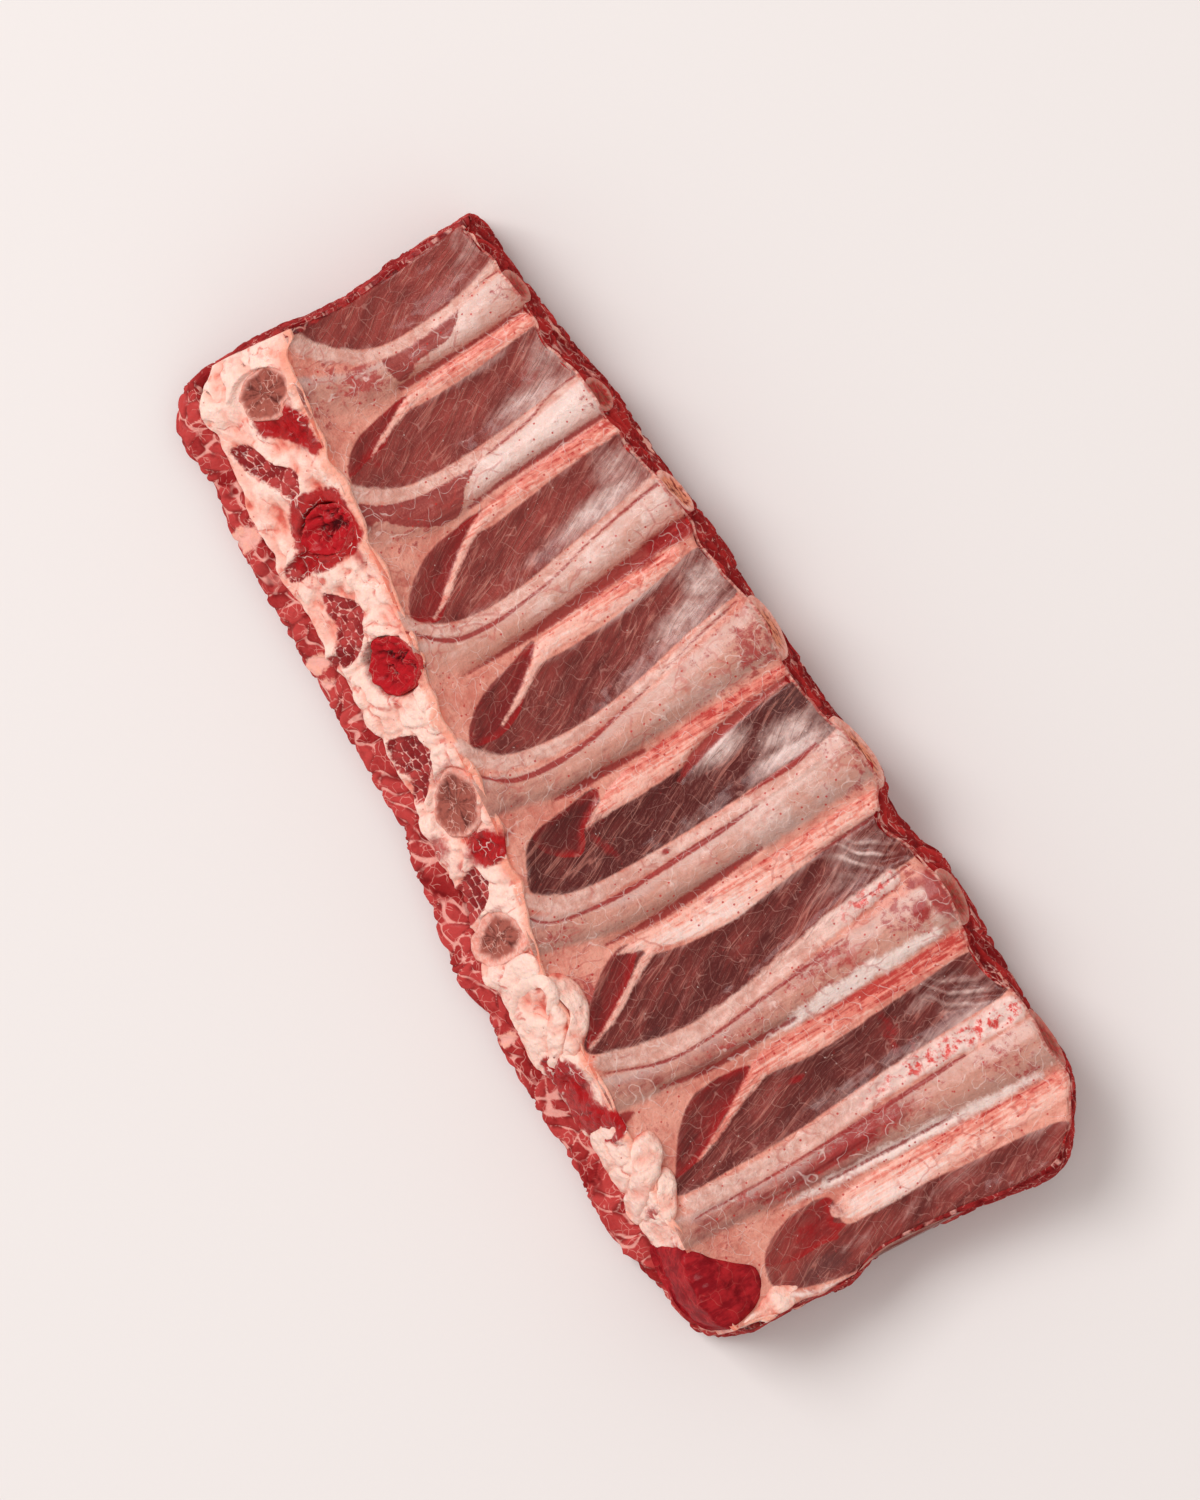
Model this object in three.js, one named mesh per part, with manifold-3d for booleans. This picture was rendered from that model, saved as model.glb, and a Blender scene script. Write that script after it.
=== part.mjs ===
// Raw beef back ribs: a rack of seven curved rib bones with the meat between and behind them,
// lying bone side up. Millimetres, +Z up.
// X runs along the rack and Y along the bones: -Y is the sloping cut where the ribs left the spine,
// +Y is the straight saw cut across the rib tips. The rack lies on the flat underside at Z = 0.
import * as THREE from "three";
import { mergeVertices } from "three/addons/utils/BufferGeometryUtils.js";
import Module from "manifold-3d";

const wasm = await Module();
wasm.setup();

// ---- driving dimensions ----

// Plan of the rack: for each station x along it, the y of the edges that run lengthwise.
const PLAN = {
  x: [-206, -198, -180, -140, -100, -50, 0, 40, 90, 140, 180, 198, 206],
  front: [-52, -65, -70, -73, -74, -76, -80, -87, -88.5, -88.5, -82, -74, -64], // widest line, spine side
  fatFoot: [-47, -57, -60, -65, -66, -67, -71, -78, -77, -76, -76, -70, -59], // foot of the cut fat face
  crest: [-18, -19, -24, -29, -34, -42, -47, -58, -62, -65, -68, -64, -52], // ridge above the fat face
  tipEdge: [57, 58, 60, 64, 67, 71, 73, 77, 79.5, 81, 80, 68, 58], // upper edge of the saw cut
  back: [62, 65.5, 67, 71, 75, 78, 80.5, 84.5, 88.5, 88, 87.5, 78, 65], // widest line, tip side
};

// The two end edges, slightly waisted: for each y, how far out the end lies.
const ENDS = {
  y: [-80, -50, -25, 0, 25, 50, 75],
  left: [200, 206, 204, 201.5, 202, 203.5, 203],
  right: [197, 199, 201.5, 198.5, 201.5, 206, 205.5],
};
const END_LEAN = 5; // both ends lean in by this much from table to top
const END_ZONE = 18; // length of rack over which that lean builds up

const CREST_HEIGHT = 44; // the cut edge on the spine side
const TIP_HEIGHT = 42; // the top surface at the saw cut
const TROUGH_PULL = 26; // how low the dished top is drawn between the two
const RIDGE = { height: 2.5, reach: 8 }; // fat standing above the dish along the cut edge, and its spread
const FAT_FOOT_HEIGHT = 17;
const FAT_BELLY = 2; // bulge of the fat face
const FAT_DEPTH = 8; // thickness of the fat on the spine side
const BULGE_HEIGHT = 9; // the sides are widest this far above the table
const FOOT_TUCK = 5; // and draw in this much to the underside
const GAP = 0.35; // clearance between neighbouring solids

// The seven ribs. x: where the bone's middle lies at each of RIB_STATIONS. width: its bared band there.
// A station is a share of the way from the ridge (0) to the tips (1); below 0 is the cut fat face.
const RIB_STATIONS = [-0.2, 0, 0.25, 0.6, 1];
const RIBS = [
  { x: [-184, -175, -166.5, -166.3, -169.5], width: [16, 17, 15, 12, 15] },
  { x: [-132, -124, -116.5, -118, -121], width: [17, 17, 14, 12.5, 16] },
  { x: [-77, -72, -66, -69.5, -77], width: [18, 16, 11, 13, 15] },
  { x: [-23, -19, -11, -13, -18], width: [18, 16, 12, 15, 22] },
  { x: [26, 32, 42, 42, 37], width: [16, 15, 12, 15, 22] },
  { x: [91, 95, 101.5, 100.5, 99], width: [15, 14, 11, 17, 20] },
  { x: [147, 151, 155.7, 158, 160], width: [13, 12, 10, 16, 19] },
];
const BONE_HALF_THICKNESS = { chine: 8.5, tip: 6.5 };
const BONE_PROUD = 3.6; // bones stand this far above the meat's dish
const BONE_SPREAD = 1.35; // whole bone width over the bared band's width
const BONE_SINK = 10; // the middle of a bone lies this far below the ridge where it is cut
const BONE_RISE_END = 0.22; // station where a bone has come up through the fat
const BONE_OVERRUN = 0.3; // stations by which a bone is drawn past both cuts before it is trimmed

const MEAT_SWELL = { height: 2, spread: 0.7, start: 0.2 }; // meat rising towards each bone
const TRIM_LUMP = { x: 175, y: -56, halfLength: 15, halfWidth: 12, height: 4 }; // lean left on the corner
const FAT_CURL = { x: 55, y: -64, z: 43, ring: 8, tube: 3.6, tilt: 0.35 }; // loose ring on the ridge
const FAT_TAB = { x: 130, y: -65, z: 42, halfLength: 12, halfWidth: 5, halfHeight: 6, turn: -0.45 };

const SLAB_STEPS = 38; // sections along the rack
const END_CROWDING = 0.2; // how much closer those sections lie towards the ends
const TOP_STEPS = 10; // steps across the dished top
const BONE_STEPS = 13; // sections along a rib
const BONE_SIDES = 12; // points round a rib

// ---- smooth curves ----

const clamp01 = (value) => Math.min(Math.max(value, 0), 1);

const smoothStep = (value) => {
  const u = clamp01(value);
  return u * u * (3 - 2 * u);
};

// A smooth function through the points (xs[i], ys[i]), xs rising, straight on beyond the ends.
function smoothThrough(xs, ys) {
  const last = xs.length - 1;
  const slopes = xs.map((_, i) => {
    const before = Math.max(i - 1, 0);
    const after = Math.min(i + 1, last);
    return (ys[after] - ys[before]) / (xs[after] - xs[before]);
  });
  return (x) => {
    if (x <= xs[0]) return ys[0] + slopes[0] * (x - xs[0]);
    if (x >= xs[last]) return ys[last] + slopes[last] * (x - xs[last]);
    const i = xs.findIndex((v) => v > x) - 1;
    const span = xs[i + 1] - xs[i];
    const u = (x - xs[i]) / span;
    const start = (1 + 2 * u) * (1 - u) ** 2 * ys[i] + u * (1 - u) ** 2 * span * slopes[i];
    const end = u * u * (3 - 2 * u) * ys[i + 1] - u * u * (1 - u) * span * slopes[i + 1];
    return start + end;
  };
}

function evenly(count, low, high) {
  return Array.from({ length: count + 1 }, (_, i) => low + ((high - low) * i) / count);
}

const EDGES = ["front", "fatFoot", "crest", "tipEdge", "back"];
const edge = Object.fromEntries(EDGES.map((name) => [name, smoothThrough(PLAN.x, PLAN[name])]));
const endReach = { left: smoothThrough(ENDS.y, ENDS.left), right: smoothThrough(ENDS.y, ENDS.right) };
const HALF_LENGTH = PLAN.x.at(-1);

// ---- the rack's own surface ----

// Height of the dished top at (x, y), without bones or lumps.
function dishHeight(x, y) {
  const crest = edge.crest(x);
  const v = clamp01((y - crest) / (edge.tipEdge(x) - crest));
  const dish = CREST_HEIGHT * (1 - v) ** 2 + 2 * TROUGH_PULL * v * (1 - v) + TIP_HEIGHT * v * v;
  return dish + RIDGE.height * Math.exp(-Math.max(y - crest, 0) / RIDGE.reach);
}

// One rib's middle line in plan, and its bared width, by station.
function ribLine({ x, width }) {
  const ridgeY = edge.crest(x[1]);
  const tipY = edge.tipEdge(x.at(-1));
  return {
    x: smoothThrough(RIB_STATIONS, x),
    width: smoothThrough(RIB_STATIONS, width),
    y: (station) => ridgeY + (tipY - ridgeY) * station,
    station: (y) => (y - ridgeY) / (tipY - ridgeY),
  };
}

const ribLines = RIBS.map(ribLine);

// How far the meat swells towards the bones, and over the lean trim, at (x, y).
function meatSwell(x, y) {
  const beside = ribLines.map((line) => {
    const station = Math.min(line.station(y), 1);
    const off = (x - line.x(station)) / (MEAT_SWELL.spread * line.width(Math.max(station, 0)));
    return MEAT_SWELL.height * Math.exp(-off * off) * smoothStep(station / MEAT_SWELL.start);
  });
  const { x: lumpX, y: lumpY, halfLength, halfWidth, height } = TRIM_LUMP;
  const fromLump = ((x - lumpX) / halfLength) ** 2 + ((y - lumpY) / halfWidth) ** 2;
  return beside.reduce((sum, rise) => sum + rise, 0) + height * Math.exp(-fromLump * fromLump);
}

// The rack's outline across station x as [y, z] points: underside, spine side, dished top, saw cut.
function crossSection(x, lift) {
  const [front, foot, crest, tip, back] = EDGES.map((name) => edge[name](x));
  const faceRise = CREST_HEIGHT + RIDGE.height - FAT_FOOT_HEIGHT;
  const underside = evenly(3, back - FOOT_TUCK, front + FOOT_TUCK).map((y) => [y, 0]);
  const baseMeat = [
    [front + 1, BULGE_HEIGHT / 3],
    [front, BULGE_HEIGHT],
    [front + (foot - front) / 3, (BULGE_HEIGHT + FAT_FOOT_HEIGHT) / 2],
  ];
  const fatFace = evenly(4, 0, 1).slice(0, -1).map((share) => {
    const belly = FAT_BELLY * Math.sin(Math.PI * share);
    return [foot + (crest - foot) * share - belly, FAT_FOOT_HEIGHT + faceRise * share + belly];
  });
  const top = evenly(TOP_STEPS, crest, tip).map((y) => [y, dishHeight(x, y) + meatSwell(x, y) + lift]);
  const sawCut = [
    [(tip + back) / 2, TIP_HEIGHT * 0.6],
    [back, BULGE_HEIGHT],
    [back - 1, BULGE_HEIGHT / 3],
  ];
  return [...underside, ...baseMeat, ...fatFace, ...top, ...sawCut];
}

// Draws a point of the end zones to the waisted end edges, leaning in with height.
function shapeEnds(x, y, z) {
  const side = x < 0 ? "left" : "right";
  const near = smoothStep((Math.abs(x) - (HALF_LENGTH - END_ZONE)) / END_ZONE);
  const inwards = HALF_LENGTH - endReach[side](y) + (END_LEAN * z) / CREST_HEIGHT;
  return [x - Math.sign(x) * near * inwards, y, z];
}

// ---- solids ----

// A closed form through one outline per station; place(station, point) gives each point's position.
function loft(stations, outline, place) {
  const rings = stations.map(outline);
  const sides = rings[0].length;
  const positions = rings.flatMap((ring, i) => ring.flatMap((point) => place(stations[i], point)));
  const index = [];
  for (let i = 0; i + 1 < rings.length; i++) {
    for (let j = 0; j < sides; j++) {
      const a = i * sides + j;
      const b = i * sides + ((j + 1) % sides);
      index.push(a, a + sides, b, b, a + sides, b + sides);
    }
  }
  for (const ring of [0, rings.length - 1]) {
    const hub = positions.length / 3;
    const first = ring * sides;
    for (let axis = 0; axis < 3; axis++) {
      let sum = 0;
      for (let j = 0; j < sides; j++) sum += positions[3 * (first + j) + axis];
      positions.push(sum / sides);
    }
    for (let j = 0; j < sides; j++) {
      const [a, b] = [first + j, first + ((j + 1) % sides)];
      index.push(hub, ...(ring === 0 ? [a, b] : [b, a]));
    }
  }
  return new THREE.BufferGeometry()
    .setAttribute("position", new THREE.Float32BufferAttribute(positions, 3))
    .setIndex(index);
}

// A closed three.js geometry as a solid with its faces turned outwards.
function solidOf(geometry) {
  geometry.deleteAttribute("normal");
  geometry.deleteAttribute("uv");
  const merged = mergeVertices(geometry, 1e-4);
  const triVerts = new Uint32Array(merged.index.array);
  const vertProperties = merged.attributes.position.array;
  const solid = new wasm.Manifold(new wasm.Mesh({ numProp: 3, vertProperties, triVerts }));
  if (solid.volume() > 0) return solid;
  triVerts.reverse();
  return new wasm.Manifold(new wasm.Mesh({ numProp: 3, vertProperties, triVerts }));
}

function geometryOf(solid) {
  const { vertProperties, triVerts } = solid.getMesh();
  return new THREE.BufferGeometry()
    .setAttribute("position", new THREE.BufferAttribute(vertProperties, 3))
    .setIndex(new THREE.BufferAttribute(triVerts, 1));
}

// The whole rack's outer form, its top raised by lift. Its sections crowd together towards the rounded ends.
function rackForm(lift) {
  const crowd = (u) => u * (1 + END_CROWDING * (1 - u * u));
  const stations = evenly(SLAB_STEPS, -1, 1).map((u) => HALF_LENGTH * crowd(u));
  return solidOf(loft(stations, (x) => crossSection(x, lift), (x, [y, z]) => shapeEnds(x, y, z)));
}

// The space that the fat on the spine side fills, reaching grow further into the meat.
function fatSpace(grow) {
  const outside = 40; // runs this far past the rack in front and above
  const low = FAT_FOOT_HEIGHT - 1.5 - grow;
  const high = CREST_HEIGHT + outside;
  const outline = (x) => {
    const foot = edge.fatFoot(x) + FAT_DEPTH + grow;
    const crest = edge.crest(x) + FAT_DEPTH + grow;
    const front = foot - outside;
    return [[foot, low], [crest, CREST_HEIGHT - FAT_DEPTH], [crest, high], [front, high], [front, low]];
  };
  const stations = evenly(SLAB_STEPS / 2, -HALF_LENGTH - FAT_DEPTH, HALF_LENGTH + FAT_DEPTH);
  return solidOf(loft(stations, outline, (x, [y, z]) => [x, y, z]));
}

// One rib as an oval bar along its line, grow thicker all round and longer than the rack is wide.
function ribBar(line, grow) {
  const halfThick = (station) => {
    const { chine, tip } = BONE_HALF_THICKNESS;
    return chine + (tip - chine) * clamp01(station);
  };
  const middle = (station) => {
    const [x, y] = [line.x(station), line.y(station)];
    const inFat = CREST_HEIGHT + RIDGE.height - BONE_SINK;
    const inOpen = dishHeight(x, y) + BONE_PROUD - halfThick(station);
    return new THREE.Vector3(x, y, inFat + (inOpen - inFat) * smoothStep(station / BONE_RISE_END));
  };
  const outline = (station) => {
    const along = middle(station + 0.01).sub(middle(station - 0.01)).setZ(0).normalize();
    const centre = middle(station);
    const halfWidth = (line.width(station) * BONE_SPREAD) / 2 + grow;
    return evenly(BONE_SIDES, 0, 2 * Math.PI).slice(0, -1).map((angle) => {
      const side = Math.cos(angle) * halfWidth;
      const rise = Math.sin(angle) * (halfThick(station) + grow);
      return [centre.x + along.y * side, centre.y - along.x * side, centre.z + rise];
    });
  };
  const stations = evenly(BONE_STEPS, -BONE_OVERRUN, 1 + BONE_OVERRUN / 2);
  return solidOf(loft(stations, outline, (_, point) => point));
}

// The loose ring and tab of fat that stand on the ridge, grow larger all round.
function looseFat(grow) {
  const ring = new THREE.TorusGeometry(FAT_CURL.ring, FAT_CURL.tube + grow, 6, 14);
  ring.rotateX(FAT_CURL.tilt).translate(FAT_CURL.x, FAT_CURL.y, FAT_CURL.z);
  const tab = new THREE.SphereGeometry(1, 10, 7);
  tab.scale(FAT_TAB.halfLength + grow, FAT_TAB.halfWidth + grow, FAT_TAB.halfHeight + grow);
  tab.rotateZ(FAT_TAB.turn).translate(FAT_TAB.x, FAT_TAB.y, FAT_TAB.z);
  return solidOf(ring).add(solidOf(tab));
}

// ---- the parts ----

const LEAN_RED = new THREE.MeshStandardMaterial({ color: 0x93343a, roughness: 0.45, metalness: 0 });
const FAT_CREAM = new THREE.MeshStandardMaterial({ color: 0xecc3ae, roughness: 0.5, metalness: 0 });
const BONE_PINK = new THREE.MeshStandardMaterial({ color: 0xd8b0a4, roughness: 0.4, metalness: 0 });

function part(name, solid, material) {
  const mesh = new THREE.Mesh(geometryOf(solid), material);
  mesh.name = name;
  return mesh;
}

const rack = rackForm(0);
const rackWithBoneRoom = rackForm(2 * BONE_PROUD); // the same cuts, with room for the bones to stand proud
const bones = ribLines.map((line) => ribBar(line, 0).intersect(rackWithBoneRoom));
const sockets = ribLines.map((line) => ribBar(line, GAP)).reduce((all, bar) => all.add(bar));

const fat = rack.intersect(fatSpace(0)).add(looseFat(0)).subtract(sockets);
const lean = rack.subtract(fatSpace(GAP)).subtract(looseFat(GAP)).subtract(sockets);

const ribs = new THREE.Group();
ribs.add(part("lean_meat", lean, LEAN_RED));
ribs.add(part("chine_fat", fat, FAT_CREAM));
bones.forEach((bone, i) => ribs.add(part(`rib_bone_${i + 1}`, bone, BONE_PINK)));

export default ribs;
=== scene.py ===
"""A rack of raw beef back ribs, lying bone side up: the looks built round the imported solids.

Plan sizes are in millimetres in the part's own frame: X along the rack, Y along the bones from the
spine side to the sawn tips, Z up. Meshes are written in metres.
"""

import logging
import math
from dataclasses import dataclass, field
from enum import Enum

import bpy
import numpy as np
from mathutils import Matrix, Vector


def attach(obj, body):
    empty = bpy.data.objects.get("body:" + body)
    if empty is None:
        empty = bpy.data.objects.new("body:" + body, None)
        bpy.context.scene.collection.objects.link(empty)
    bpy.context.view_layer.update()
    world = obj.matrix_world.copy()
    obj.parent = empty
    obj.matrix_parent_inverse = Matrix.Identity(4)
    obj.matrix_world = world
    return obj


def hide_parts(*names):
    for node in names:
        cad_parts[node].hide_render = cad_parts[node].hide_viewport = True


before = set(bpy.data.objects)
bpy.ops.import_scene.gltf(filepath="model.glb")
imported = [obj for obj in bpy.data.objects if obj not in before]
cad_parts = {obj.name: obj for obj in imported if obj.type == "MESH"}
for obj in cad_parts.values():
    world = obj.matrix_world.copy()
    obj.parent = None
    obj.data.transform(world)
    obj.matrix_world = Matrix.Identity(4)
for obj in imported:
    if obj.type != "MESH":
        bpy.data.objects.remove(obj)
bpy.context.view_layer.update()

log = logging.getLogger("ribs")
Array = np.ndarray
Points = tuple[tuple[float, float], ...]
Rgb = tuple[float, float, float]
Numbers = tuple[float, ...]
Faces = list[tuple[int, ...]]
Piece = bpy.types.Object
Material = bpy.types.Material

MM = 0.001
FAR = 12.0  # distances in plan are not worked out beyond this

# For each muscle from the left: the slope of its fibres in degrees, and how light it is.
FIBRE_SLOPES = (60.0, 58.0, 60.0, 62.0, 66.0, 62.0, 72.0, 66.0)
FLESH_TONES = (0.75, 0.65, 0.6, 0.35, -0.35, 0.2, 0.2, 0.55)

# ---- plan of the rack

HALF_LENGTH = 206.0
STATIONS = (-206, -198, -180, -140, -100, -50, 0, 40, 90, 140, 180, 198, 206)
CREST_Y = (-18, -19, -24, -29, -34, -42, -47, -58, -62, -65, -68, -64, -52)
FAT_FOOT_Y = (-47, -57, -60, -65, -66, -67, -71, -78, -77, -76, -76, -70, -59)
TIP_Y = (57, 58, 60, 64, 67, 71, 73, 77, 79.5, 81, 80, 68, 58)
END_Y = (-80, -50, -25, 0, 25, 50, 75)
LEFT_REACH = (200, 206, 204, 201.5, 202, 203.5, 203)
RIGHT_REACH = (197, 199, 201.5, 198.5, 201.5, 205.5, 205)

CREST_HEIGHT = 44.0
TIP_HEIGHT = 42.0
TROUGH_PULL = 26.0
RIDGE_HEIGHT = 2.5
RIDGE_REACH = 8.0
FAT_FOOT_HEIGHT = 17.0
END_ZONE = 18.0

# Widest line of the rack, clockwise from the left end of the tip side.
OUTLINE: Points = (
    (-201, 65), (-180, 66), (-160, 68), (-140, 70.5), (-120, 74), (-100, 75), (-80, 76), (-58, 78),
    (-30, 78.5), (0, 80), (22, 81), (40, 84), (52, 84), (62, 81.5), (75, 83), (87, 87.5), (105, 87),
    (120, 86), (150, 86), (168, 87.2), (182, 85), (192, 78), (201, 71), (205, 62), (204, 45), (201, 25),
    (199, 10), (197.5, -8), (201, -22), (199, -36), (198, -50), (196.5, -65), (191, -76), (180, -81),
    (152, -85.5), (146, -87.5), (120, -87), (86, -86.5), (72, -87.5), (50, -85), (37, -87), (20, -85.5),
    (6, -82), (-16, -78.5), (-26, -75.5), (-50, -75), (-80, -75), (-110, -74), (-145, -73), (-158, -71),
    (-166, -69.5), (-187, -71), (-197, -66), (-203, -60), (-205.5, -52), (-205, -30), (-203, -15),
    (-201, 5), (-202.5, 30), (-203, 52),
)

TIP_POINTS = 22  # how many of them lie on the tip side

# Upper edge of the saw cut, where the membrane ends.
RIM_X = (
    -206, -180, -160, -145, -130, -105, -85, -68, -55, -37, -20, 0, 15, 30, 48, 58, 64, 76, 95, 125, 140,
    168, 176, 190, 200, 206,
)
RIM_Y = (
    57, 60, 62, 61, 65, 66, 69, 72, 70.5, 73, 75, 72.5, 75, 79, 80, 76, 73, 78, 80, 77.5, 82, 82, 83, 76,
    68, 60,
)


def between(low: float, high: float, value: Array) -> Array:
    """Smooth rise from 0 to 1 as a value goes from low to high."""
    share = np.clip((value - low) / (high - low), 0.0, 1.0)
    return share * share * (3.0 - 2.0 * share)


class Smooth:
    """A smooth function through given points, straight on beyond its ends."""

    def __init__(self, xs: Numbers, ys: Numbers) -> None:
        """Keep the points and their slopes.

        Args:
            xs: Rising positions.
            ys: The value at each.
        """
        self.xs = np.array(xs, float)
        self.ys = np.array(ys, float)
        low = np.maximum(np.arange(len(xs)) - 1, 0)
        high = np.minimum(np.arange(len(xs)) + 1, len(xs) - 1)
        self.slopes = (self.ys[high] - self.ys[low]) / (self.xs[high] - self.xs[low])

    def __call__(self, x: Array) -> Array:
        """Value of the function.

        Args:
            x: Positions.

        Returns:
            The value at each position.
        """
        x = np.asarray(x, float)
        i = np.clip(np.searchsorted(self.xs, x, side="right") - 1, 0, len(self.xs) - 2)
        span = self.xs[i + 1] - self.xs[i]
        u = np.clip((x - self.xs[i]) / span, 0.0, 1.0)
        start = (1 + 2 * u) * (1 - u) ** 2 * self.ys[i] + u * (1 - u) ** 2 * span * self.slopes[i]
        end = u * u * (3 - 2 * u) * self.ys[i + 1] - u * u * (1 - u) * span * self.slopes[i + 1]
        beyond = np.minimum(x - self.xs[0], 0) * self.slopes[0]
        beyond = beyond + np.maximum(x - self.xs[-1], 0) * self.slopes[-1]
        return start + end + beyond


crest_y = Smooth(STATIONS, CREST_Y)
fat_foot_y = Smooth(STATIONS, FAT_FOOT_Y)
tip_y = Smooth(STATIONS, TIP_Y)
rim_y = Smooth(RIM_X, RIM_Y)
left_reach = Smooth(END_Y, LEFT_REACH)
right_reach = Smooth(END_Y, RIGHT_REACH)


class Lumps:
    """Seeded smooth noise on a lattice, between -1 and 1."""

    SIZE = 4096
    PRIMES = (73856093, 19349663, 83492791)

    def __init__(self, seed: int) -> None:
        """Draw the lattice."""
        self.table = np.random.default_rng(seed).uniform(-1, 1, self.SIZE)

    def __call__(self, *coords: Array) -> Array:
        """Noise at the given places.

        Args:
            coords: Two or three coordinates, in lattice steps.

        Returns:
            The noise at each place.
        """
        cells = [np.floor(c).astype(np.int64) for c in coords]
        shares = [c - n for c, n in zip(coords, cells)]
        shares = [s * s * (3 - 2 * s) for s in shares]
        total = np.zeros(np.broadcast(*coords).shape)
        for corner in range(1 << len(coords)):
            weight = 1.0
            key = np.int64(0)
            for axis, (cell, share) in enumerate(zip(cells, shares)):
                far = corner >> axis & 1
                weight = weight * (share if far else 1 - share)
                key = key ^ ((cell + far) * self.PRIMES[axis])
            total = total + weight * self.table[key & (self.SIZE - 1)]
        return total

    def octaves(self, size: float, count: int, *coords: Array) -> Array:
        """Several sizes of the noise added up.

        Args:
            size: Width of the largest lumps, in the coordinates' unit.
            count: How many sizes, each half of the one before.
            coords: Two or three coordinates.

        Returns:
            The summed noise, roughly between -1 and 1.
        """
        total = np.zeros(np.broadcast(*coords).shape)
        for octave in range(count):
            scale = 2.0**octave / size
            shifted = [c * scale + 17.3 * octave for c in coords]
            total = total + self(*shifted) * 0.5**octave
        return total


class Cells:
    """Uneven cells, such as bundles of muscle fibre seen at a cut, on a jittered grid."""

    def __init__(self, seed: int, wrap: int) -> None:
        """Draw the cells' middles.

        Args:
            seed: Picks one pattern of many.
            wrap: After how many columns the pattern repeats.
        """
        rng = np.random.default_rng(seed)
        self.wrap = wrap
        self.rows = 64
        self.jitter = rng.uniform(0.08, 0.92, (wrap, self.rows, 2))
        self.tones = rng.uniform(0, 1, (wrap, self.rows))

    def __call__(self, u: Array, v: Array) -> tuple[Array, Array, Array]:
        """Look up the cell at each place.

        Args:
            u: Position along, in cells.
            v: Position across, in cells.

        Returns:
            Distance to the cell's middle, distance to its edge, and the cell's own tone from 0 to 1.
        """
        column = np.floor(u).astype(int)
        row = np.floor(v).astype(int)
        near = np.full(u.shape, 9.0)
        second = np.full(u.shape, 9.0)
        tone = np.zeros(u.shape)
        for step_u in (-1, 0, 1):
            for step_v in (-1, 0, 1):
                a, b = column + step_u, row + step_v
                shift = self.jitter[a % self.wrap, b % self.rows]
                reach = np.hypot(a + shift[..., 0] - u, b + shift[..., 1] - v)
                closer = reach < near
                second = np.where(closer, near, np.minimum(second, reach))
                tone = np.where(closer, self.tones[a % self.wrap, b % self.rows], tone)
                near = np.minimum(near, reach)
        return near, (second - near) / 2, tone


def catmull(points: Points, steps: int, closed: bool) -> Array:
    """Round off a chain of points.

    Args:
        points: The chain, in plan.
        steps: Points made for each stretch.
        closed: Whether the chain ends where it began.

    Returns:
        The smooth chain, one row a point.
    """
    knots = np.array(points, float)
    count = len(knots)
    if closed:
        padded = knots[np.arange(-1, count + 2) % count]
        stretches = count
    else:
        padded = np.vstack([2 * knots[0] - knots[1], knots, 2 * knots[-1] - knots[-2]])
        stretches = count - 1
    share = (np.arange(steps) / steps)[:, None]
    chain = []
    for i in range(stretches):
        a, b, c, d = padded[i : i + 4]
        bend = (2 * a - 5 * b + 4 * c - d) * share**2 + (3 * b - a - 3 * c + d) * share**3
        chain.append(0.5 * (2 * b + (c - a) * share + bend))
    if not closed:
        chain.append(knots[-1:])
    return np.vstack(chain)


def nearest(x: Array, y: Array, chain: Array) -> tuple[Array, Array]:
    """Find how far each place is from a chain of points.

    Args:
        x: Along the rack.
        y: Across it.
        chain: The chain, one row a point.

    Returns:
        The distance, and the share of the chain where it is nearest.
    """
    best = np.full(x.shape, 1e9)
    along = np.zeros(x.shape)
    count = len(chain) - 1
    for i in range(count):
        (ax, ay), (bx, by) = chain[i], chain[i + 1]
        dx, dy = bx - ax, by - ay
        share = np.clip(((x - ax) * dx + (y - ay) * dy) / (dx * dx + dy * dy + 1e-9), 0, 1)
        reach = np.hypot(x - ax - share * dx, y - ay - share * dy)
        along = np.where(reach < best, (i + share) / count, along)
        best = np.minimum(best, reach)
    return best, along


def close_to(x: Array, y: Array, chain: Array) -> Array:
    """Pick the places worth measuring against a chain."""
    low, high = chain.min(0) - FAR, chain.max(0) + FAR
    return (x > low[0]) & (x < high[0]) & (y > low[1]) & (y < high[1])


@dataclass(frozen=True)
class Patch:
    """A closed outline in plan."""

    points: Points
    steps: int = 5

    def depth(self, x: Array, y: Array) -> Array:
        """How far inside the outline each place is.

        Args:
            x: Along the rack.
            y: Across it.

        Returns:
            Millimetres inside, negative outside.
        """
        chain = catmull(self.points, self.steps, closed=True)
        chain = np.vstack([chain, chain[:1]])
        depth = np.full(x.shape, -FAR)
        near = close_to(x, y, chain)
        px, py = x[near], y[near]
        reach, _ = nearest(px, py, chain)
        inside = np.zeros(px.shape, bool)
        for (ax, ay), (bx, by) in zip(chain[:-1], chain[1:]):
            if ay != by:
                crosses = (ay > py) != (by > py)
                inside ^= crosses & (px < (bx - ax) * (py - ay) / (by - ay) + ax)
        depth[near] = np.maximum(np.where(inside, reach, -reach), -FAR)
        return depth


@dataclass(frozen=True)
class Strip:
    """A band along a line in plan, its half widths spread evenly along it."""

    points: Points
    half_widths: Numbers
    steps: int = 5

    def depth(self, x: Array, y: Array) -> Array:
        """How far inside the band each place is.

        Args:
            x: Along the rack.
            y: Across it.

        Returns:
            Millimetres inside, negative outside.
        """
        chain = catmull(self.points, self.steps, closed=False)
        depth = np.full(x.shape, -FAR)
        near = close_to(x, y, chain)
        reach, along = nearest(x[near], y[near], chain)
        stops = np.linspace(0, 1, len(self.half_widths))
        half = np.interp(along, stops, self.half_widths)
        depth[near] = np.maximum(half - reach, -FAR)
        return depth


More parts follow.
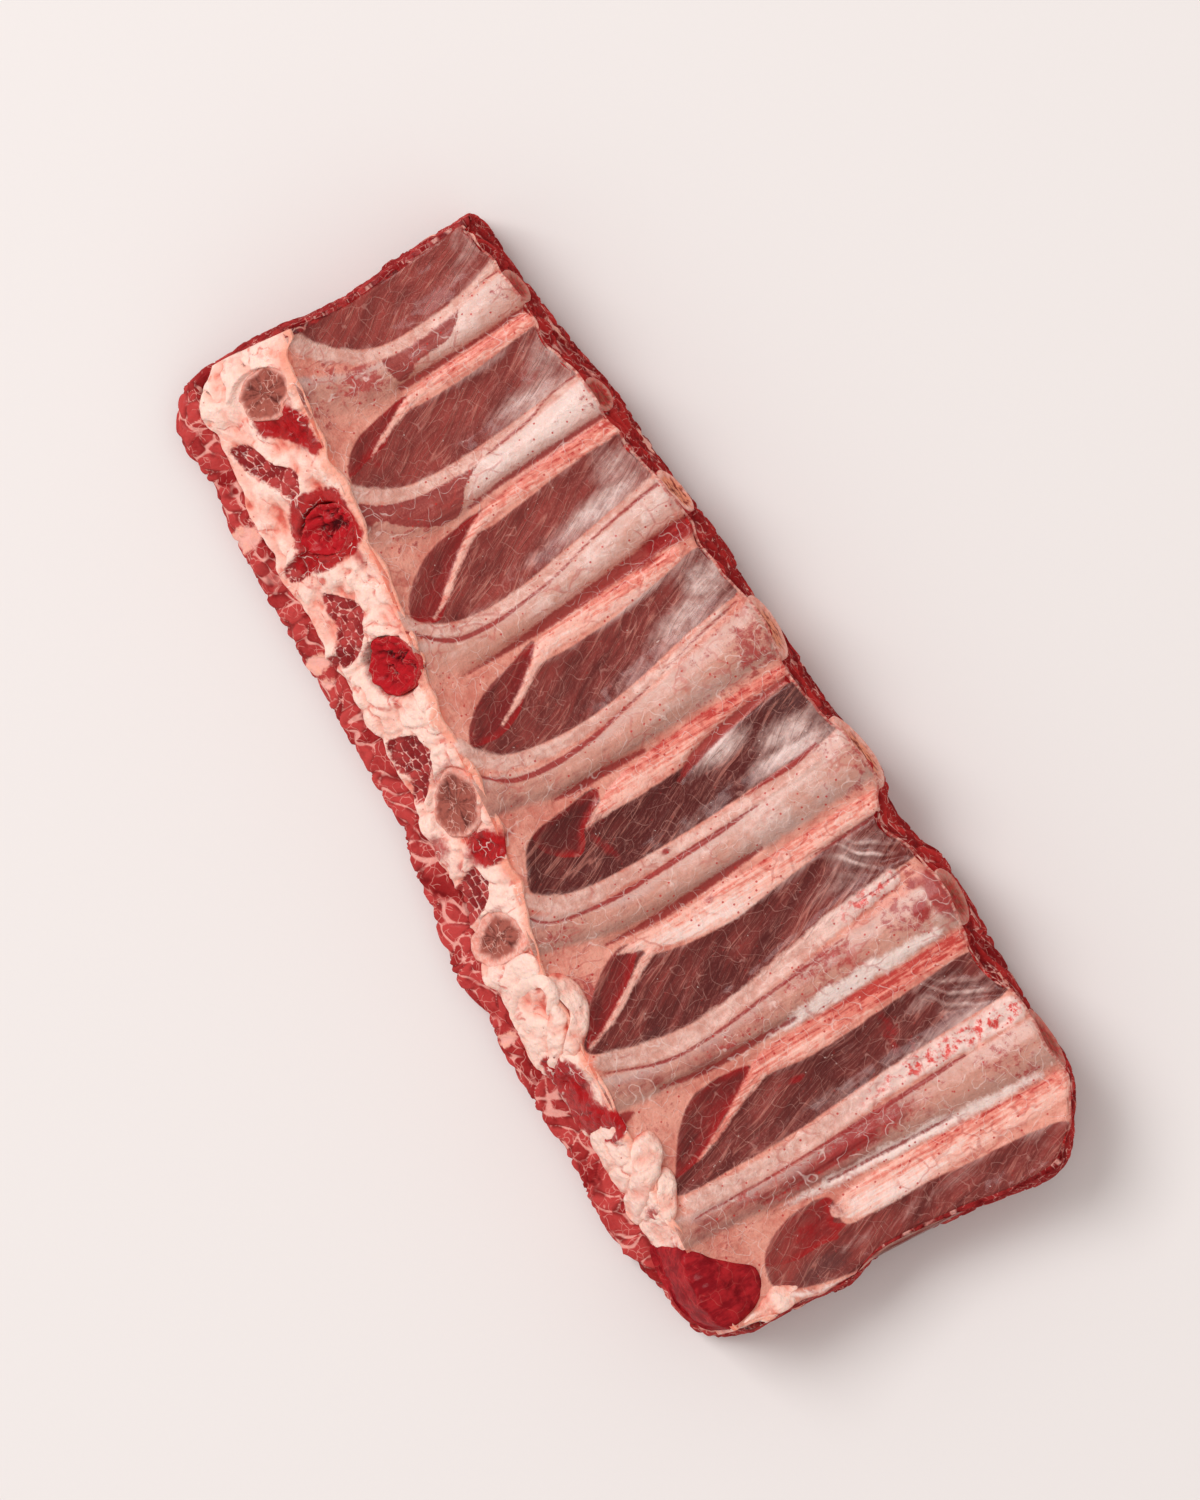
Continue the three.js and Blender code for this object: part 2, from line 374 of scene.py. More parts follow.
def deepest(shapes: list[Patch] | list[Strip], x: Array, y: Array) -> Array:
    """Depth inside whichever of several shapes holds each place."""
    depth = np.full(x.shape, -FAR)
    for shape in shapes:
        depth = np.maximum(depth, shape.depth(x, y))
    return depth


# ---- soft blots


@dataclass(frozen=True)
class Daub:
    """A soft blot in plan: its middle, half sizes, strength and turn in degrees."""

    x: float
    y: float
    half_x: float
    half_y: float
    strength: float = 1.0
    turn: float = 0.0

    def weight(self, x: Array, y: Array) -> Array:
        """How strongly the blot shows at each place, fading outwards."""
        along, across = offsets(self, x, y)
        return self.strength * np.exp(-0.9 * (along**2 + across**2) ** 1.3)


def offsets(oval: "Daub | RibEnd", x: Array, y: Array) -> tuple[Array, Array]:
    """Find where places lie in a turned oval, 1 being its edge.

    Args:
        oval: The shape.
        x: Along the rack.
        y: Across it.

    Returns:
        The offsets from its middle along each of its axes.
    """
    c, s = math.cos(math.radians(oval.turn)), math.sin(math.radians(oval.turn))
    along = ((x - oval.x) * c + (y - oval.y) * s) / oval.half_x
    return along, ((y - oval.y) * c - (x - oval.x) * s) / oval.half_y


def gather(kind: type, *rows: tuple) -> tuple:
    """Make a shape of one kind from each row of its values."""
    return tuple(kind(*row) for row in rows)


def blots(daubs: tuple[Daub, ...], x: Array, y: Array) -> Array:
    """The strongest of several blots at each place."""
    total = np.zeros(x.shape)
    for daub in daubs:
        total = np.maximum(total, daub.weight(x, y))
    return total


# ---- ribs and what lies between them


class EndKind(Enum):
    """How a rib's end looks on the cut fat face."""

    MARROW = "marrow"
    STREAKED = "streaked"
    CLOT = "clot"
    COVERED = "covered"


@dataclass(frozen=True)
class RibEnd:
    """The sawn end of a rib on the spine side: an oval in plan."""

    kind: EndKind
    x: float
    y: float
    half_x: float
    half_y: float
    turn: float = 0.0
    taper: float = 0.0


@dataclass(frozen=True)
class Rib:
    """One rib: its middle line and bared width by station, and how its membrane looks."""

    x: Numbers
    width: Numbers
    pallor: Numbers
    end: RibEnd
    tip_half_x: float
    tip_inset: float = 0.0
    # How grey, rather than warm, the painted shade on the rib's right flank is.
    flank_shade_grey: float = 1.0

    STATIONS = (-0.2, 0, 0.25, 0.6, 1)

    def ridge_y(self) -> float:
        """Where the rib meets the ridge of fat."""
        return float(crest_y(self.x[1]))

    def station(self, y: Array) -> Array:
        """Share of the way from the ridge to the tips."""
        start = self.ridge_y()
        return (y - start) / (float(tip_y(self.x[-1])) - start)

    def y_at(self, station: float) -> float:
        """Place across the rack at a station."""
        start = self.ridge_y()
        return start + (float(tip_y(self.x[-1])) - start) * station

    def x_at(self, station: Array) -> Array:
        """Place along the rack of the rib's middle at a station."""
        return Smooth(self.STATIONS, self.x)(station)

    def half_width(self, station: Array) -> Array:
        """Half of the bared band at a station."""
        return Smooth(self.STATIONS, self.width)(np.clip(station, -0.2, 1.0)) / 2

    def pallor_at(self, station: Array) -> Array:
        """How pale the membrane over the rib is at a station."""
        return np.interp(station, np.linspace(0, 1, len(self.pallor)), self.pallor)

    def across(self, x: Array, y: Array) -> Array:
        """Place across the rib in half widths, negative to the left."""
        station = np.clip(self.station(y), -0.3, 1.05)
        return (x - self.x_at(station)) / self.half_width(station)


RIBS = (
    Rib((-184, -175, -166.5, -166.3, -169.5), (16, 17, 15, 12, 15), (0.3, 0.34, 0.6, 0.78, 0.6),
        RibEnd(EndKind.MARROW, -184.3, -36, 8.8, 10.6, taper=0.16), 7, 2, 0.1),
    Rib((-132, -124, -116.5, -118, -121), (17, 17, 14, 12.5, 16), (0.34, 0.42, 0.8, 0.9, 0.85),
        RibEnd(EndKind.CLOT, -130.6, -41, 9, 9.4), 7, 2, 0.1),
    Rib((-77, -72, -66, -69.5, -77), (18, 16, 11, 13, 15), (0.42, 0.5, 0.64, 0.72, 0.72),
        RibEnd(EndKind.CLOT, -76.3, -46.4, 11.2, 9), 9.5, flank_shade_grey=0),
    Rib((-23, -19, -11, -13, -18), (18, 16, 12, 15, 22), (0.36, 0.42, 0.5, 0.6, 0.5), RibEnd(EndKind.MARROW,
        -22.5, -53.5, 13, 8.6, -24, 0.1), 13),
    Rib((26, 32, 42, 42, 37), (16, 15, 12, 15, 22), (0.36, 0.42, 0.6, 0.7, 0.62), RibEnd(EndKind.STREAKED,
        26.5, -67, 9, 11, 8, 0.22), 15.5),
    Rib((91, 95, 101.5, 100.5, 99), (15, 14, 11, 17, 20), (0.4, 0.34, 0.34, 0.42, 0.7),
        RibEnd(EndKind.COVERED, 91, -70, 7, 6), 11, 1),
    Rib((147, 151, 155.7, 158, 160), (13, 12, 10, 16, 19), (0.35, 0.25, 0.14, 0.4, 0.56),
        RibEnd(EndKind.COVERED, 147, -73, 6, 5), 12, 1),
)

MUSCLES = (
    Patch(((-201, 57), (-190, 58), (-181, 60), (-178, 48), (-176, 35), (-175.5, 22), (-176.5, 10),
        (-181, -1), (-188, -10), (-195, -16.5), (-199, -10), (-201, 10), (-202, 35))),
    Patch(((-154, 60), (-142, 61.5), (-131, 64), (-129, 45), (-127.5, 25), (-127, 8), (-128, -6),
        (-132, -17), (-138, -25), (-145, -23.5), (-152, -16), (-155, -6), (-157, 8), (-152, 7),
        (-151.5, 30), (-153, 48))),
    Patch(((-106, 66), (-96, 67), (-86, 68.5), (-83, 50), (-79.5, 28), (-76.5, 8), (-76, -8), (-79, -22),
        (-86, -32), (-94, -29), (-103, -18), (-106.5, -5), (-107.5, 11), (-101, 6), (-102.5, 25),
        (-105, 48))),
    Patch(((-55.5, 69), (-45, 71), (-34.5, 73), (-31, 50), (-26.5, 28), (-23.5, 6), (-24, -12), (-28, -30),
        (-37, -38), (-45, -33), (-51.5, -23), (-55, -10), (-58, 1), (-50, -1), (-49.5, 25), (-53, 52))),
    Patch(((3, 72), (15, 75), (26, 77), (28, 50), (29.5, 20), (29.5, -10), (27, -34), (20, -46.5),
        (12, -44.5), (2, -37), (-0.5, -20), (-1, -7.5), (8.5, -8), (9, 18), (6, 45))),
    Patch(((59, 75), (70, 76), (79, 79), (81, 55), (86, 24), (90, -8), (88.5, -30), (84, -49), (78, -60),
        (70, -55), (58, -43), (52.5, -32), (54, -25), (61, -20), (65, 5), (62, 38))),
    Patch(((119, 77), (129, 78), (138, 81), (139.5, 50), (140.5, 20), (142, -12), (141, -42), (139, -59),
        (130, -54.5), (119, -46), (111, -34), (112, -14), (118, -10), (121.5, 12), (120, 45))),
    Patch(((186, 62), (190, 75), (200, 69), (204, 56), (202, 35), (199, 12), (197.5, -6), (195.5, -22),
        (191, -38), (184, -47), (172, -42), (166.5, -28), (168, -13), (180, -12), (180.5, 8), (184, 38))),
)

WEDGES = (
    Patch(((-156.7, 8), (-153.5, 6), (-149.3, -2), (-145, -8.5), (-143.8, -16), (-141.5, -25),
        (-149, -23.3), (-153.3, -15), (-156.3, -4))),
    Patch(((-107.3, 9.5), (-103.3, 4.7), (-96.7, -3.3), (-91.3, -12), (-84.7, -19.3), (-81.5, -24),
        (-83.5, -30), (-89, -33), (-97, -29.5), (-103, -23), (-106.5, -12), (-107, 0))),
    Patch(((-57, 1), (-53, 0), (-48, -4.7), (-44.5, -10), (-38, -17.3), (-34.7, -27), (-37, -38),
        (-46, -33.5), (-52, -25), (-55.3, -14), (-56.5, -5))),
    Patch(((-1, -7), (3.3, -9), (7, -15), (10, -19), (14.5, -21.5), (17, -25), (15, -29), (14, -31),
        (8, -36), (1, -35), (-0.5, -20))),
    Patch(((53.5, -24), (59.3, -28), (65.3, -34.7), (70.7, -42.7), (75.3, -50.7), (77, -59), (70, -54),
        (62, -50), (56, -45), (53, -36))),
    Patch(((111.5, -14), (117.3, -15.5), (120.7, -22.7), (124.7, -32), (130.7, -41.3), (132.7, -48),
        (133.3, -57), (129, -54), (119.3, -48.7), (114, -41.3), (111, -29.3))),
    Patch(((167.5, -14), (169.5, -12), (171.5, -15), (173.5, -12.5), (176.5, -16.5), (179.5, -12.5),
        (181, -17), (182.7, -18), (181.5, -24), (181.3, -34.7), (178, -44.7), (172.7, -44), (168.7, -40),
        (167.2, -32), (167.5, -22))),
)

BANDS = gather(
    Strip,
    (((-180, 60), (-176, 45), (-173.8, 28), (-173.5, 12), (-176.5, 2), (-183, -7), (-190, -14),
        (-200, -18)), (1, 1.8, 2.2, 2.2, 2.6, 3.4, 3)),
    (((-130, 62), (-127.5, 45), (-125.5, 28), (-124.6, 8), (-126, -8), (-130, -18), (-137, -27),
        (-146, -30)), (1.2, 1.6, 2, 2.4, 2.2, 2.4, 2.8, 2)),
    (((-84, 66), (-80.5, 48), (-77, 28), (-74, 8), (-73.5, -8), (-76, -22), (-82.5, -32), (-91, -35.5)),
        (1.6, 2, 2.4, 2.4, 2.4, 2.4, 2.6, 1.6)),
    (((-32, 66), (-26, 42), (-22.5, 18), (-21, 0), (-21.5, -16), (-25, -29), (-32, -38), (-40, -41)),
        (1.4, 1.8, 1.8, 2, 2.4, 2.8, 3, 1.8)),
    (((31, 66), (32, 42), (32.5, 15), (32, -14), (31, -30), (27, -42), (20, -50)),
        (2, 2.2, 2.2, 2.6, 3, 3.4, 2.4)),
    (((82, 66), (84.5, 44), (88, 20), (91.5, -5), (92.5, -24), (90.5, -40), (84, -57)),
        (3, 3.6, 3.4, 3.2, 3.6, 4, 3)),
    (((144.5, 78), (144.5, 52), (144, 30), (145.5, 8), (147, -15), (146.5, -35), (144, -56)),
        (5, 4.6, 4.2, 3.8, 3.6, 3.6, 3)),
)

RED_LINES = gather(
    Strip,
    (((-177.5, 61), (-177, 53), (-175.5, 46)), (0.5, 0.4, 0.2)),
    (((-131, 63), (-129.6, 51), (-126.4, 42), (-124.6, 30), (-123.4, 21)), (0.5, 0.4, 0.5, 0.6, 0.3)),
    (((-82.3, 68), (-80, 50), (-77, 34), (-73.6, 21), (-71.5, 6), (-70.5, -8), (-73, -24), (-84, -36.5)),
        (0.7, 0.6, 0.4, 0.5, 0.6, 0.9, 1, 0.4)),
    (((-31.5, 70), (-29, 56), (-26.5, 45), (-23.5, 34)), (0.4, 0.5, 0.3, 0.2)),
    (((-22, 28), (-19.3, 14), (-16.8, 0), (-16, -15), (-18.5, -31), (-27, -42)),
        (0.3, 0.6, 1, 1.2, 1, 0.4)),
    (((26.5, 68), (28.6, 58), (29, 44), (29.6, 34)), (0.6, 1.2, 0.7, 0.2)),
    (((34.5, 40), (35.6, 24), (36, 6), (36.4, -8), (36, -26), (32, -46), (23, -55)),
        (0.3, 1, 1.2, 0.9, 0.9, 0.5, 0.5)),
    (((81, 74), (82.5, 60), (83, 50)), (0.5, 0.4, 0.3)),
    (((91.5, 40), (93.5, 20), (95, 2), (96.8, -20), (95.5, -38), (88, -58)),
        (0.3, 0.6, 0.7, 0.6, 0.7, 0.3)),
    (((150, 55), (150.5, 40), (151, 12), (151, -12), (150.5, -34), (149, -58)),
        (0.6, 0.9, 0.9, 0.6, 0.5, 0.4)),
    (((157, 14), (157.5, -4), (156.8, -20)), (0.3, 0.7, 0.3)),
)

# Bare dark red meat beside the first two ribs.
BARE_MEAT = (
    Patch(((-175.5, 50), (-174, 42.3), (-170.7, 38.3), (-166, 31.7), (-164.7, 18.3), (-162.4, 14),
        (-162.3, 8.3), (-172.7, 7), (-172.7, 11.7), (-173.3, 28.3))),
    Patch(((-124.2, 26), (-122.7, 18.3), (-117.3, 9), (-112.7, 5), (-110, 2), (-110, -5.3), (-113.3, -12),
        (-117.3, -18), (-122.7, -23.3), (-123.5, -29), (-134, -30), (-128, -21), (-124.6, -12), (-123, 0))),
)

# Grooves beside the ribs: sunk, and painted dark red with painted shade.
GROOVES = gather(
    Strip,
    (((-161, 61), (-160.4, 40), (-160.2, 22), (-160, 8)), (0.8, 0.7, 1, 1.2)),
    (((-113.4, 64), (-113, 40), (-112.3, 22), (-110.5, 6)), (0.9, 1, 0.8, 0.6)),
    (((-66, 74), (-65, 66), (-63.5, 52), (-62, 30), (-60.8, 10), (-60, -8), (-60, -26)),
        (1, 2.8, 2.6, 2.2, 2, 0.9, 0.3)),
    (((1.3, 73), (2.4, 58), (5, 42), (8.5, 28), (12.5, 19)), (0.8, 1.4, 2, 2, 0.5)),
    (((-3.4, 14), (-4.4, 0), (-4.5, -12), (-5, -22)), (0.8, 1.4, 1.2, 0.4)),
    (((48.6, 32), (49.2, 18), (50, 0), (50.2, -16), (49, -34)), (0.4, 1.4, 1.5, 1.4, 0.4)),
    (((59.7, 75), (60.2, 60), (60.8, 44)), (0.25, 0.6, 0.2)),
    (((107, 10), (106.5, -8), (106.5, -24), (103, -44)), (0.7, 1, 1, 0.5)),
    (((159, 12), (158.5, -12), (157.5, -34)), (0.4, 0.5, 0.5)),
    (((166.5, 40), (164.5, 10), (163, -10)), (0.3, 0.6, 0.4)),
)

TENDONS = gather(
    Strip,
    (((-156.8, 60), (-156.2, 42), (-155.8, 26), (-155, 12), (-152, 2), (-148, -7), (-144.5, -14)),
        (3, 3, 2.8, 2.4, 1.3, 0.8, 0.1)),
    (((-108.8, 66), (-108, 45), (-107, 26), (-105.5, 12), (-101, 0), (-95, -8.5), (-88, -17), (-83, -25)),
        (3.4, 3.2, 2.8, 2.4, 1.5, 1.2, 1, 0.2)),
    (((-57.5, 60), (-56, 40), (-55.3, 20), (-54.5, 6), (-49.5, -4), (-43.5, -13), (-38, -24)),
        (2.6, 3.8, 4.2, 3.4, 1.6, 1.2, 0.2)),
    (((-1.2, 72), (-0.8, 52), (0, 36), (2.5, 18), (4, 4), (7, -10), (9.5, -18)),
        (2.6, 3, 3.6, 4.8, 4.6, 2.4, 0.2)),
    (((55, 77), (55.8, 56), (57.5, 32), (59, 10), (57.5, -8), (55.5, -20), (54, -32)),
        (3.6, 4.2, 5, 6.4, 5, 3, 0.3)),
    (((58, -18), (62, -27), (68, -37), (73.5, -47), (77.5, -58)), (1.8, 1.4, 1.1, 0.9, 0.3)),
    (((114, 79), (114.3, 55), (114.6, 32), (115.5, 10), (115, -6), (120.5, -20), (127, -33), (133, -48)),
        (3.4, 3.6, 4.4, 5.2, 4.2, 1.6, 1.1, 0.2)),
    (((177, 81), (176.5, 55), (175.5, 28), (175.5, 8), (175, -6), (174, -13)),
        (4.6, 5.4, 6.2, 6.6, 5.4, 2.4)),
)
# How cream rather than red each of them is.
TENDON_PALLOR = (0.35, 0.25, 0.5, 0.2, 0.62, 0.4, 0.0, 0.6)

# Ragged white sheets of fat and membrane beside the last two ribs.
WHITE_STRIPS = gather(
    Strip,
    (((107, 70), (106.5, 50), (106.5, 32), (107, 14), (108, 0)), (2.2, 3.4, 3.6, 2.8, 1)),
    (((170, 74), (168.5, 52), (166.5, 30), (165, 8), (163.5, -14), (162, -30)), (1.8, 2.4, 3, 3, 2, 0.2)),
    (((197.5, -9), (197, -22), (195, -34), (191, -42)), (0.4, 1.2, 1.6, 1)),
)

# Milky haze of the membrane over the meat.
HAZE = gather(
    Daub,
    (-190, 54, 9, 6, 0.5), (-182, 50, 4, 10, 0.4), (-142, 57, 11, 9, 0.65), (-133, 46, 5, 22, 0.75),
    (-133, 20, 3, 14, 0.3), (-151, 38, 2.5, 18, 0.4), (-97, 58, 9, 10, 0.65), (-87, 47, 5, 24, 0.85, 8),
    (-83, 20, 3, 16, 0.4), (-44, 64, 10, 10, 0.85), (-37, 52, 6, 18, 0.8, 10), (-30, 25, 3, 18, 0.4, 6),
    (-53, 34, 3.5, 20, 0.85), (18, 62, 7, 13, 0.9), (24, 58, 4, 20), (11, 38, 4.5, 12, 0.95, 8),
    (26, 20, 2.5, 20, 0.3), (66, 70, 7, 8, 0.4), (74, 50, 5, 16, 0.5), (62, 28, 3, 14, 0.4),
    (132, 66, 6, 14, 0.5), (68, 60, 8, 13, 0.6), (126, 52, 4, 12, 0.4), (137, 62, 3, 12, 0.5),
    (137, 45, 3, 25, 0.45), (137, 5, 3, 30, 0.4), (123, 60, 3, 14, 0.4), (127, 18, 5, 12, 0.4),
    (94, 30, 3, 30, 0.3), (188, 20, 3, 30, 0.35), (188, 62, 5, 8, 0.4), (199, 15, 3, 30, 0.3),
    (187, -12, 2.5, 9, 0.4), (-176, -8, 5, 4, 0.3),
)

# Where the meat under the membrane looks dark and blue.
SHADE = gather(
    Daub,
    (8, 67, 5, 9, 1, -8), (-187, 47, 5, 7, 0.5), (188.5, -28, 5, 12), (-150, 15, 2.5, 16, 0.4),
    (133, -26, 4, 16, 0.45), (22, -25, 4, 14, 0.4), (85, -40, 3, 10, 0.6), (-136, -15, 4, 8, 0.35),
    (-85, -22, 5, 7, 0.3), (-36, -27, 5, 7, 0.35),
)

# Blood soaked into membrane, meat and fat.
STAINS = gather(
    Daub,
    (-64, 63, 4, 13, 1, -6), (-60.5, 50, 3, 7, 0.6), (95, 77, 11, 4.5), (97, 69, 4.5, 4.5, 0.9),
    (88, 73, 2.5, 6, 0.7), (127, 37.5, 7, 3.4, 0.6), (137, 41, 4, 2, 0.5), (133, 35.5, 6, 2.6, 0.55),
    (126, -1, 1.6, 4, 0.8), (9, -15, 5, 6, 0.45), (19, -15.5, 9, 2.6, 0.55, 20), (-141, -13, 2.5, 3.5, 0.5),
    (31.5, 2, 1.6, 3, 0.7), (54.5, 6, 2, 3, 0.6), (114, -8, 3, 2, 0.5), (173, -12, 5, 4, 0.5),
    (174.5, -27, 5.5, 8, 0.55), (193, 67, 3, 3, 0.5), (-171, -31, 9, 2.5, 0.45), (-3.5, -43, 1.5, 4, 0.6),
    (105.3, -61, 2.2, 4.5, 1, 10), (-118, -33, 7, 2, 0.4), (-83, 73, 6, 1.6, 0.7), (-195, 57, 7, 1.2, 0.7),
    (-75, 68, 3, 4, 0.35),
)

# Pink and red bloom of the membrane where it lies on fat and bone.
BLUSH = gather(
    Daub,
    (-169, -3, 8, 9, 0.8), (-178, -11, 6, 5, 0.5), (-166, -21, 7, 5, 0.45), (-112, -16, 6, 10, 0.45),
    (-4, -10, 3, 14, 0.4), (-28, 62, 3.5, 9, 0.5), (-14, 66, 10, 8, 0.75), (-7, 54, 3, 18, 0.5),
    (-21, 52, 3, 10, 0.35), (30, 66, 4, 10, 0.5), (48, 70, 3, 10, 0.45), (40, 78, 9, 3, 0.6),
    (84, 62, 4, 14, 0.75), (96, 62, 9, 9, 0.65), (96, 28, 5, 18, 0.65), (103, 30, 2.5, 16, 0.5),
    (101, -12, 4, 22, 0.4), (155, 10, 4.5, 26, 0.85), (157, 66, 8, 12, 0.5), (168, 70, 4, 8, 0.6),
    (153, -40, 4, 20, 0.35), (58, -49, 7, 6, 0.7), (36, -46, 6, 9, 0.35), (-62, -34, 8, 4, 0.3),
    (163, -50, 6, 12, 0.25), (115, -50, 5, 7, 0.3), (41, -28, 3, 14, 0.25), (54, 55, 2.5, 16, 0.5),
    (-170, 56, 5, 5, 0.4), (-121, 62, 7, 4, 0.35), (160, -26, 3, 8, 0.5), (155, 6, 4, 14, 0.5),
    (-12, 74, 9, 5, 0.5), (-26, 68, 5, 6, 0.4),
)

# Folds of loose membrane over the sixth and seventh muscles.
FOLDS = (Daub(70, 62, 7, 17, 1.0, -28), Daub(129, 66, 7, 16, 1.0, -24))
FOLD_TURN = 27.0
FOLD_PITCH = 5.2


def dish_height(x: Array, y: Array) -> Array:
    """Height of the dished top, without bones or muscles.

    Args:
        x: Along the rack.
        y: Across it.

    Returns:
        The height above the table.
    """
    crest = crest_y(x)
    v = np.clip((y - crest) / (tip_y(x) - crest), 0.0, 1.0)
    dish = CREST_HEIGHT * (1 - v) ** 2 + 2 * TROUGH_PULL * v * (1 - v) + TIP_HEIGHT * v * v
    return dish + RIDGE_HEIGHT * np.exp(-np.maximum(y - crest, 0) / RIDGE_REACH)


def face_height(x: Array, y: Array) -> Array:
    """Height of the slanting cut fat face, and of the dish beyond it.

    Args:
        x: Along the rack.
        y: Across it.

    Returns:
        The height above the table.
    """
    foot, crest = fat_foot_y(x), crest_y(x)
    share = (y - foot) / (crest - foot)
    face = FAT_FOOT_HEIGHT + (CREST_HEIGHT + RIDGE_HEIGHT - FAT_FOOT_HEIGHT) * np.maximum(share, 0)
    return np.where(share < 1, face, dish_height(x, y))


def shape_ends(x: Array, y: Array, z: Array, inset: float, lean: float) -> Array:
    """Draw the end zones in to the waisted, leaning ends.

    Args:
        x: Places along the rack, out to HALF_LENGTH.
        y: Across it.
        z: Heights.
        inset: How far inside the end edge the outermost place comes to lie.
        lean: How far the end has leant in at the height of the crest.

    Returns:
        The new place along the rack.
    """
    near = between(HALF_LENGTH - END_ZONE, HALF_LENGTH, np.abs(x))
    reach = np.where(x < 0, left_reach(y), right_reach(y))
    inwards = HALF_LENGTH - reach + inset + lean * z / CREST_HEIGHT
    return x - np.sign(x) * near * inwards


# ---- meshes


def build_mesh(name: str, places: Array, faces: Faces | Array) -> Piece:
    """Make a smooth-shaded object.

    Args:
        name: The piece's name.
        places: Vertices in millimetres, one row each.
        faces: Vertex numbers of each face.

    Returns:
        The new object, linked to the scene.
    """
    mesh = bpy.data.meshes.new(name)
    mesh.from_pydata((places * MM).tolist(), [], [tuple(map(int, f)) for f in faces])
    mesh.validate()
    mesh.shade_smooth()
    piece = bpy.data.objects.new(name, mesh)
    bpy.context.scene.collection.objects.link(piece)
    return piece


def write_fields(piece: Piece, fields: dict[str, Array]) -> None:
    """Store numbers or vectors at the vertices.

    Args:
        piece: The object.
        fields: Values by name, one row for each vertex; missing rows at the end are zero.
    """
    for name, values in fields.items():
        flat = values.reshape(-1) if values.shape[-1] != 3 or values.ndim == 1 else values.reshape(-1, 3)
        kind, key = ("FLOAT", "value") if flat.ndim == 1 else ("FLOAT_VECTOR", "vector")
        layer = piece.data.attributes.new(name, kind, "POINT")
        full = np.zeros((len(piece.data.vertices),) + flat.shape[1:], np.float32)
        full[: len(flat)] = flat
        layer.data.foreach_set(key, full.ravel())


def grid_faces(rows: int, columns: int, wrap: bool = False) -> Faces:
    """Quads of a grid whose vertices are numbered row by row.

    Args:
        rows: Vertices one way.
        columns: Vertices the other way.
        wrap: Whether the last row joins the first.

    Returns:
        Four vertex numbers for each quad.
    """
    i = np.arange(rows if wrap else rows - 1)[:, None]
    j = np.arange(columns - 1)[None, :]
    ahead = (i + 1) % rows
    quads = [i * columns + j, ahead * columns + j, ahead * columns + j + 1, i * columns + j + 1]
    stacked = np.stack([np.broadcast_to(q, (len(i), columns - 1)) for q in quads], -1)
    return [tuple(q) for q in stacked.reshape(-1, 4).tolist()]


def lace(rings: list[list[int]]) -> Faces:
    """Join neighbouring rings of vertices, where a ring of one vertex is a hub.

    Args:
        rings: Vertex numbers of each ring, in order.

    Returns:
        The faces.
    """
    faces = []
    for near, far in zip(rings, rings[1:]):
        for j in range(max(len(near), len(far))):
            j_near, k_near = j % len(near), (j + 1) % len(near)
            j_far, k_far = j % len(far), (j + 1) % len(far)
            corners = (near[j_near], far[j_far], far[k_far], near[k_near])
            faces.append(tuple(dict.fromkeys(corners)))
    return faces


def closed_slab(name: str, skin: Array, first_low: Array, last_low: Array) -> Piece:
    """Close a fine skin into a solid with plain hidden sides.

    Args:
        name: The piece's name.
        skin: Grid of places, shape (along, across, 3), its outside up where along is X and across Y.
        first_low: Hidden place below each vertex of the skin's first column.
        last_low: Hidden place below each vertex of its last column.

    Returns:
        The closed object. Its first vertices are the skin's, row by row.
    """
    rows, columns = skin.shape[:2]
    count = rows * columns
    places = np.vstack([skin.reshape(-1, 3), first_low, last_low])
    faces = grid_faces(rows, columns)
    i = np.arange(rows - 1)
    first, last = i * columns, i * columns + columns - 1
    low, high = count + i, count + rows + i
    faces += zip(first, low, low + 1, first + columns)
    faces += zip(last, last + columns, high + 1, high)
    faces += zip(low, high, high + 1, low + 1)
    faces.append((*range(columns), count + rows, count))
    end = tuple(reversed(range(count - columns, count)))
    faces.append((*end, count + rows - 1, count + 2 * rows - 1))
    return build_mesh(name, places, faces)


@dataclass
class Shells:
    """Closed organic shells gathered into one mesh."""

    places: list[Array] = field(default_factory=list)
    faces: Faces = field(default_factory=list)
    swell: list[Array] = field(default_factory=list)
    count: int = 0

    def add(self, rings: Array, swell: Array) -> None:
        """Add a shell made of rings round a first and a last point.

        Args:
            rings: Places, shape (rings, around, 3), from one end to the other.
            swell: How far each place stands out, from 0 in a crease to 1 on a bulge.
        """
        number, around = rings.shape[:2]
        hub = self.count + number * around
        numbers = self.count + np.arange(number * around).reshape(number, around)
        self.faces += lace([[hub], *numbers.tolist(), [hub + 1]])
        self.places += [rings.reshape(-1, 3), rings[0].mean(0)[None], rings[-1].mean(0)[None]]
        self.swell += [swell.ravel(), swell[0].mean(keepdims=True), swell[-1].mean(keepdims=True)]
        self.count = hub + 2

    def build(self, name: str) -> Piece:
        """Make the object.

        Args:
            name: The piece's name.

        Returns:
            The piece, with the field swell at its vertices.
        """
        piece = build_mesh(name, np.vstack(self.places), self.faces)
        write_fields(piece, {"swell": np.concatenate(self.swell)})
        return piece


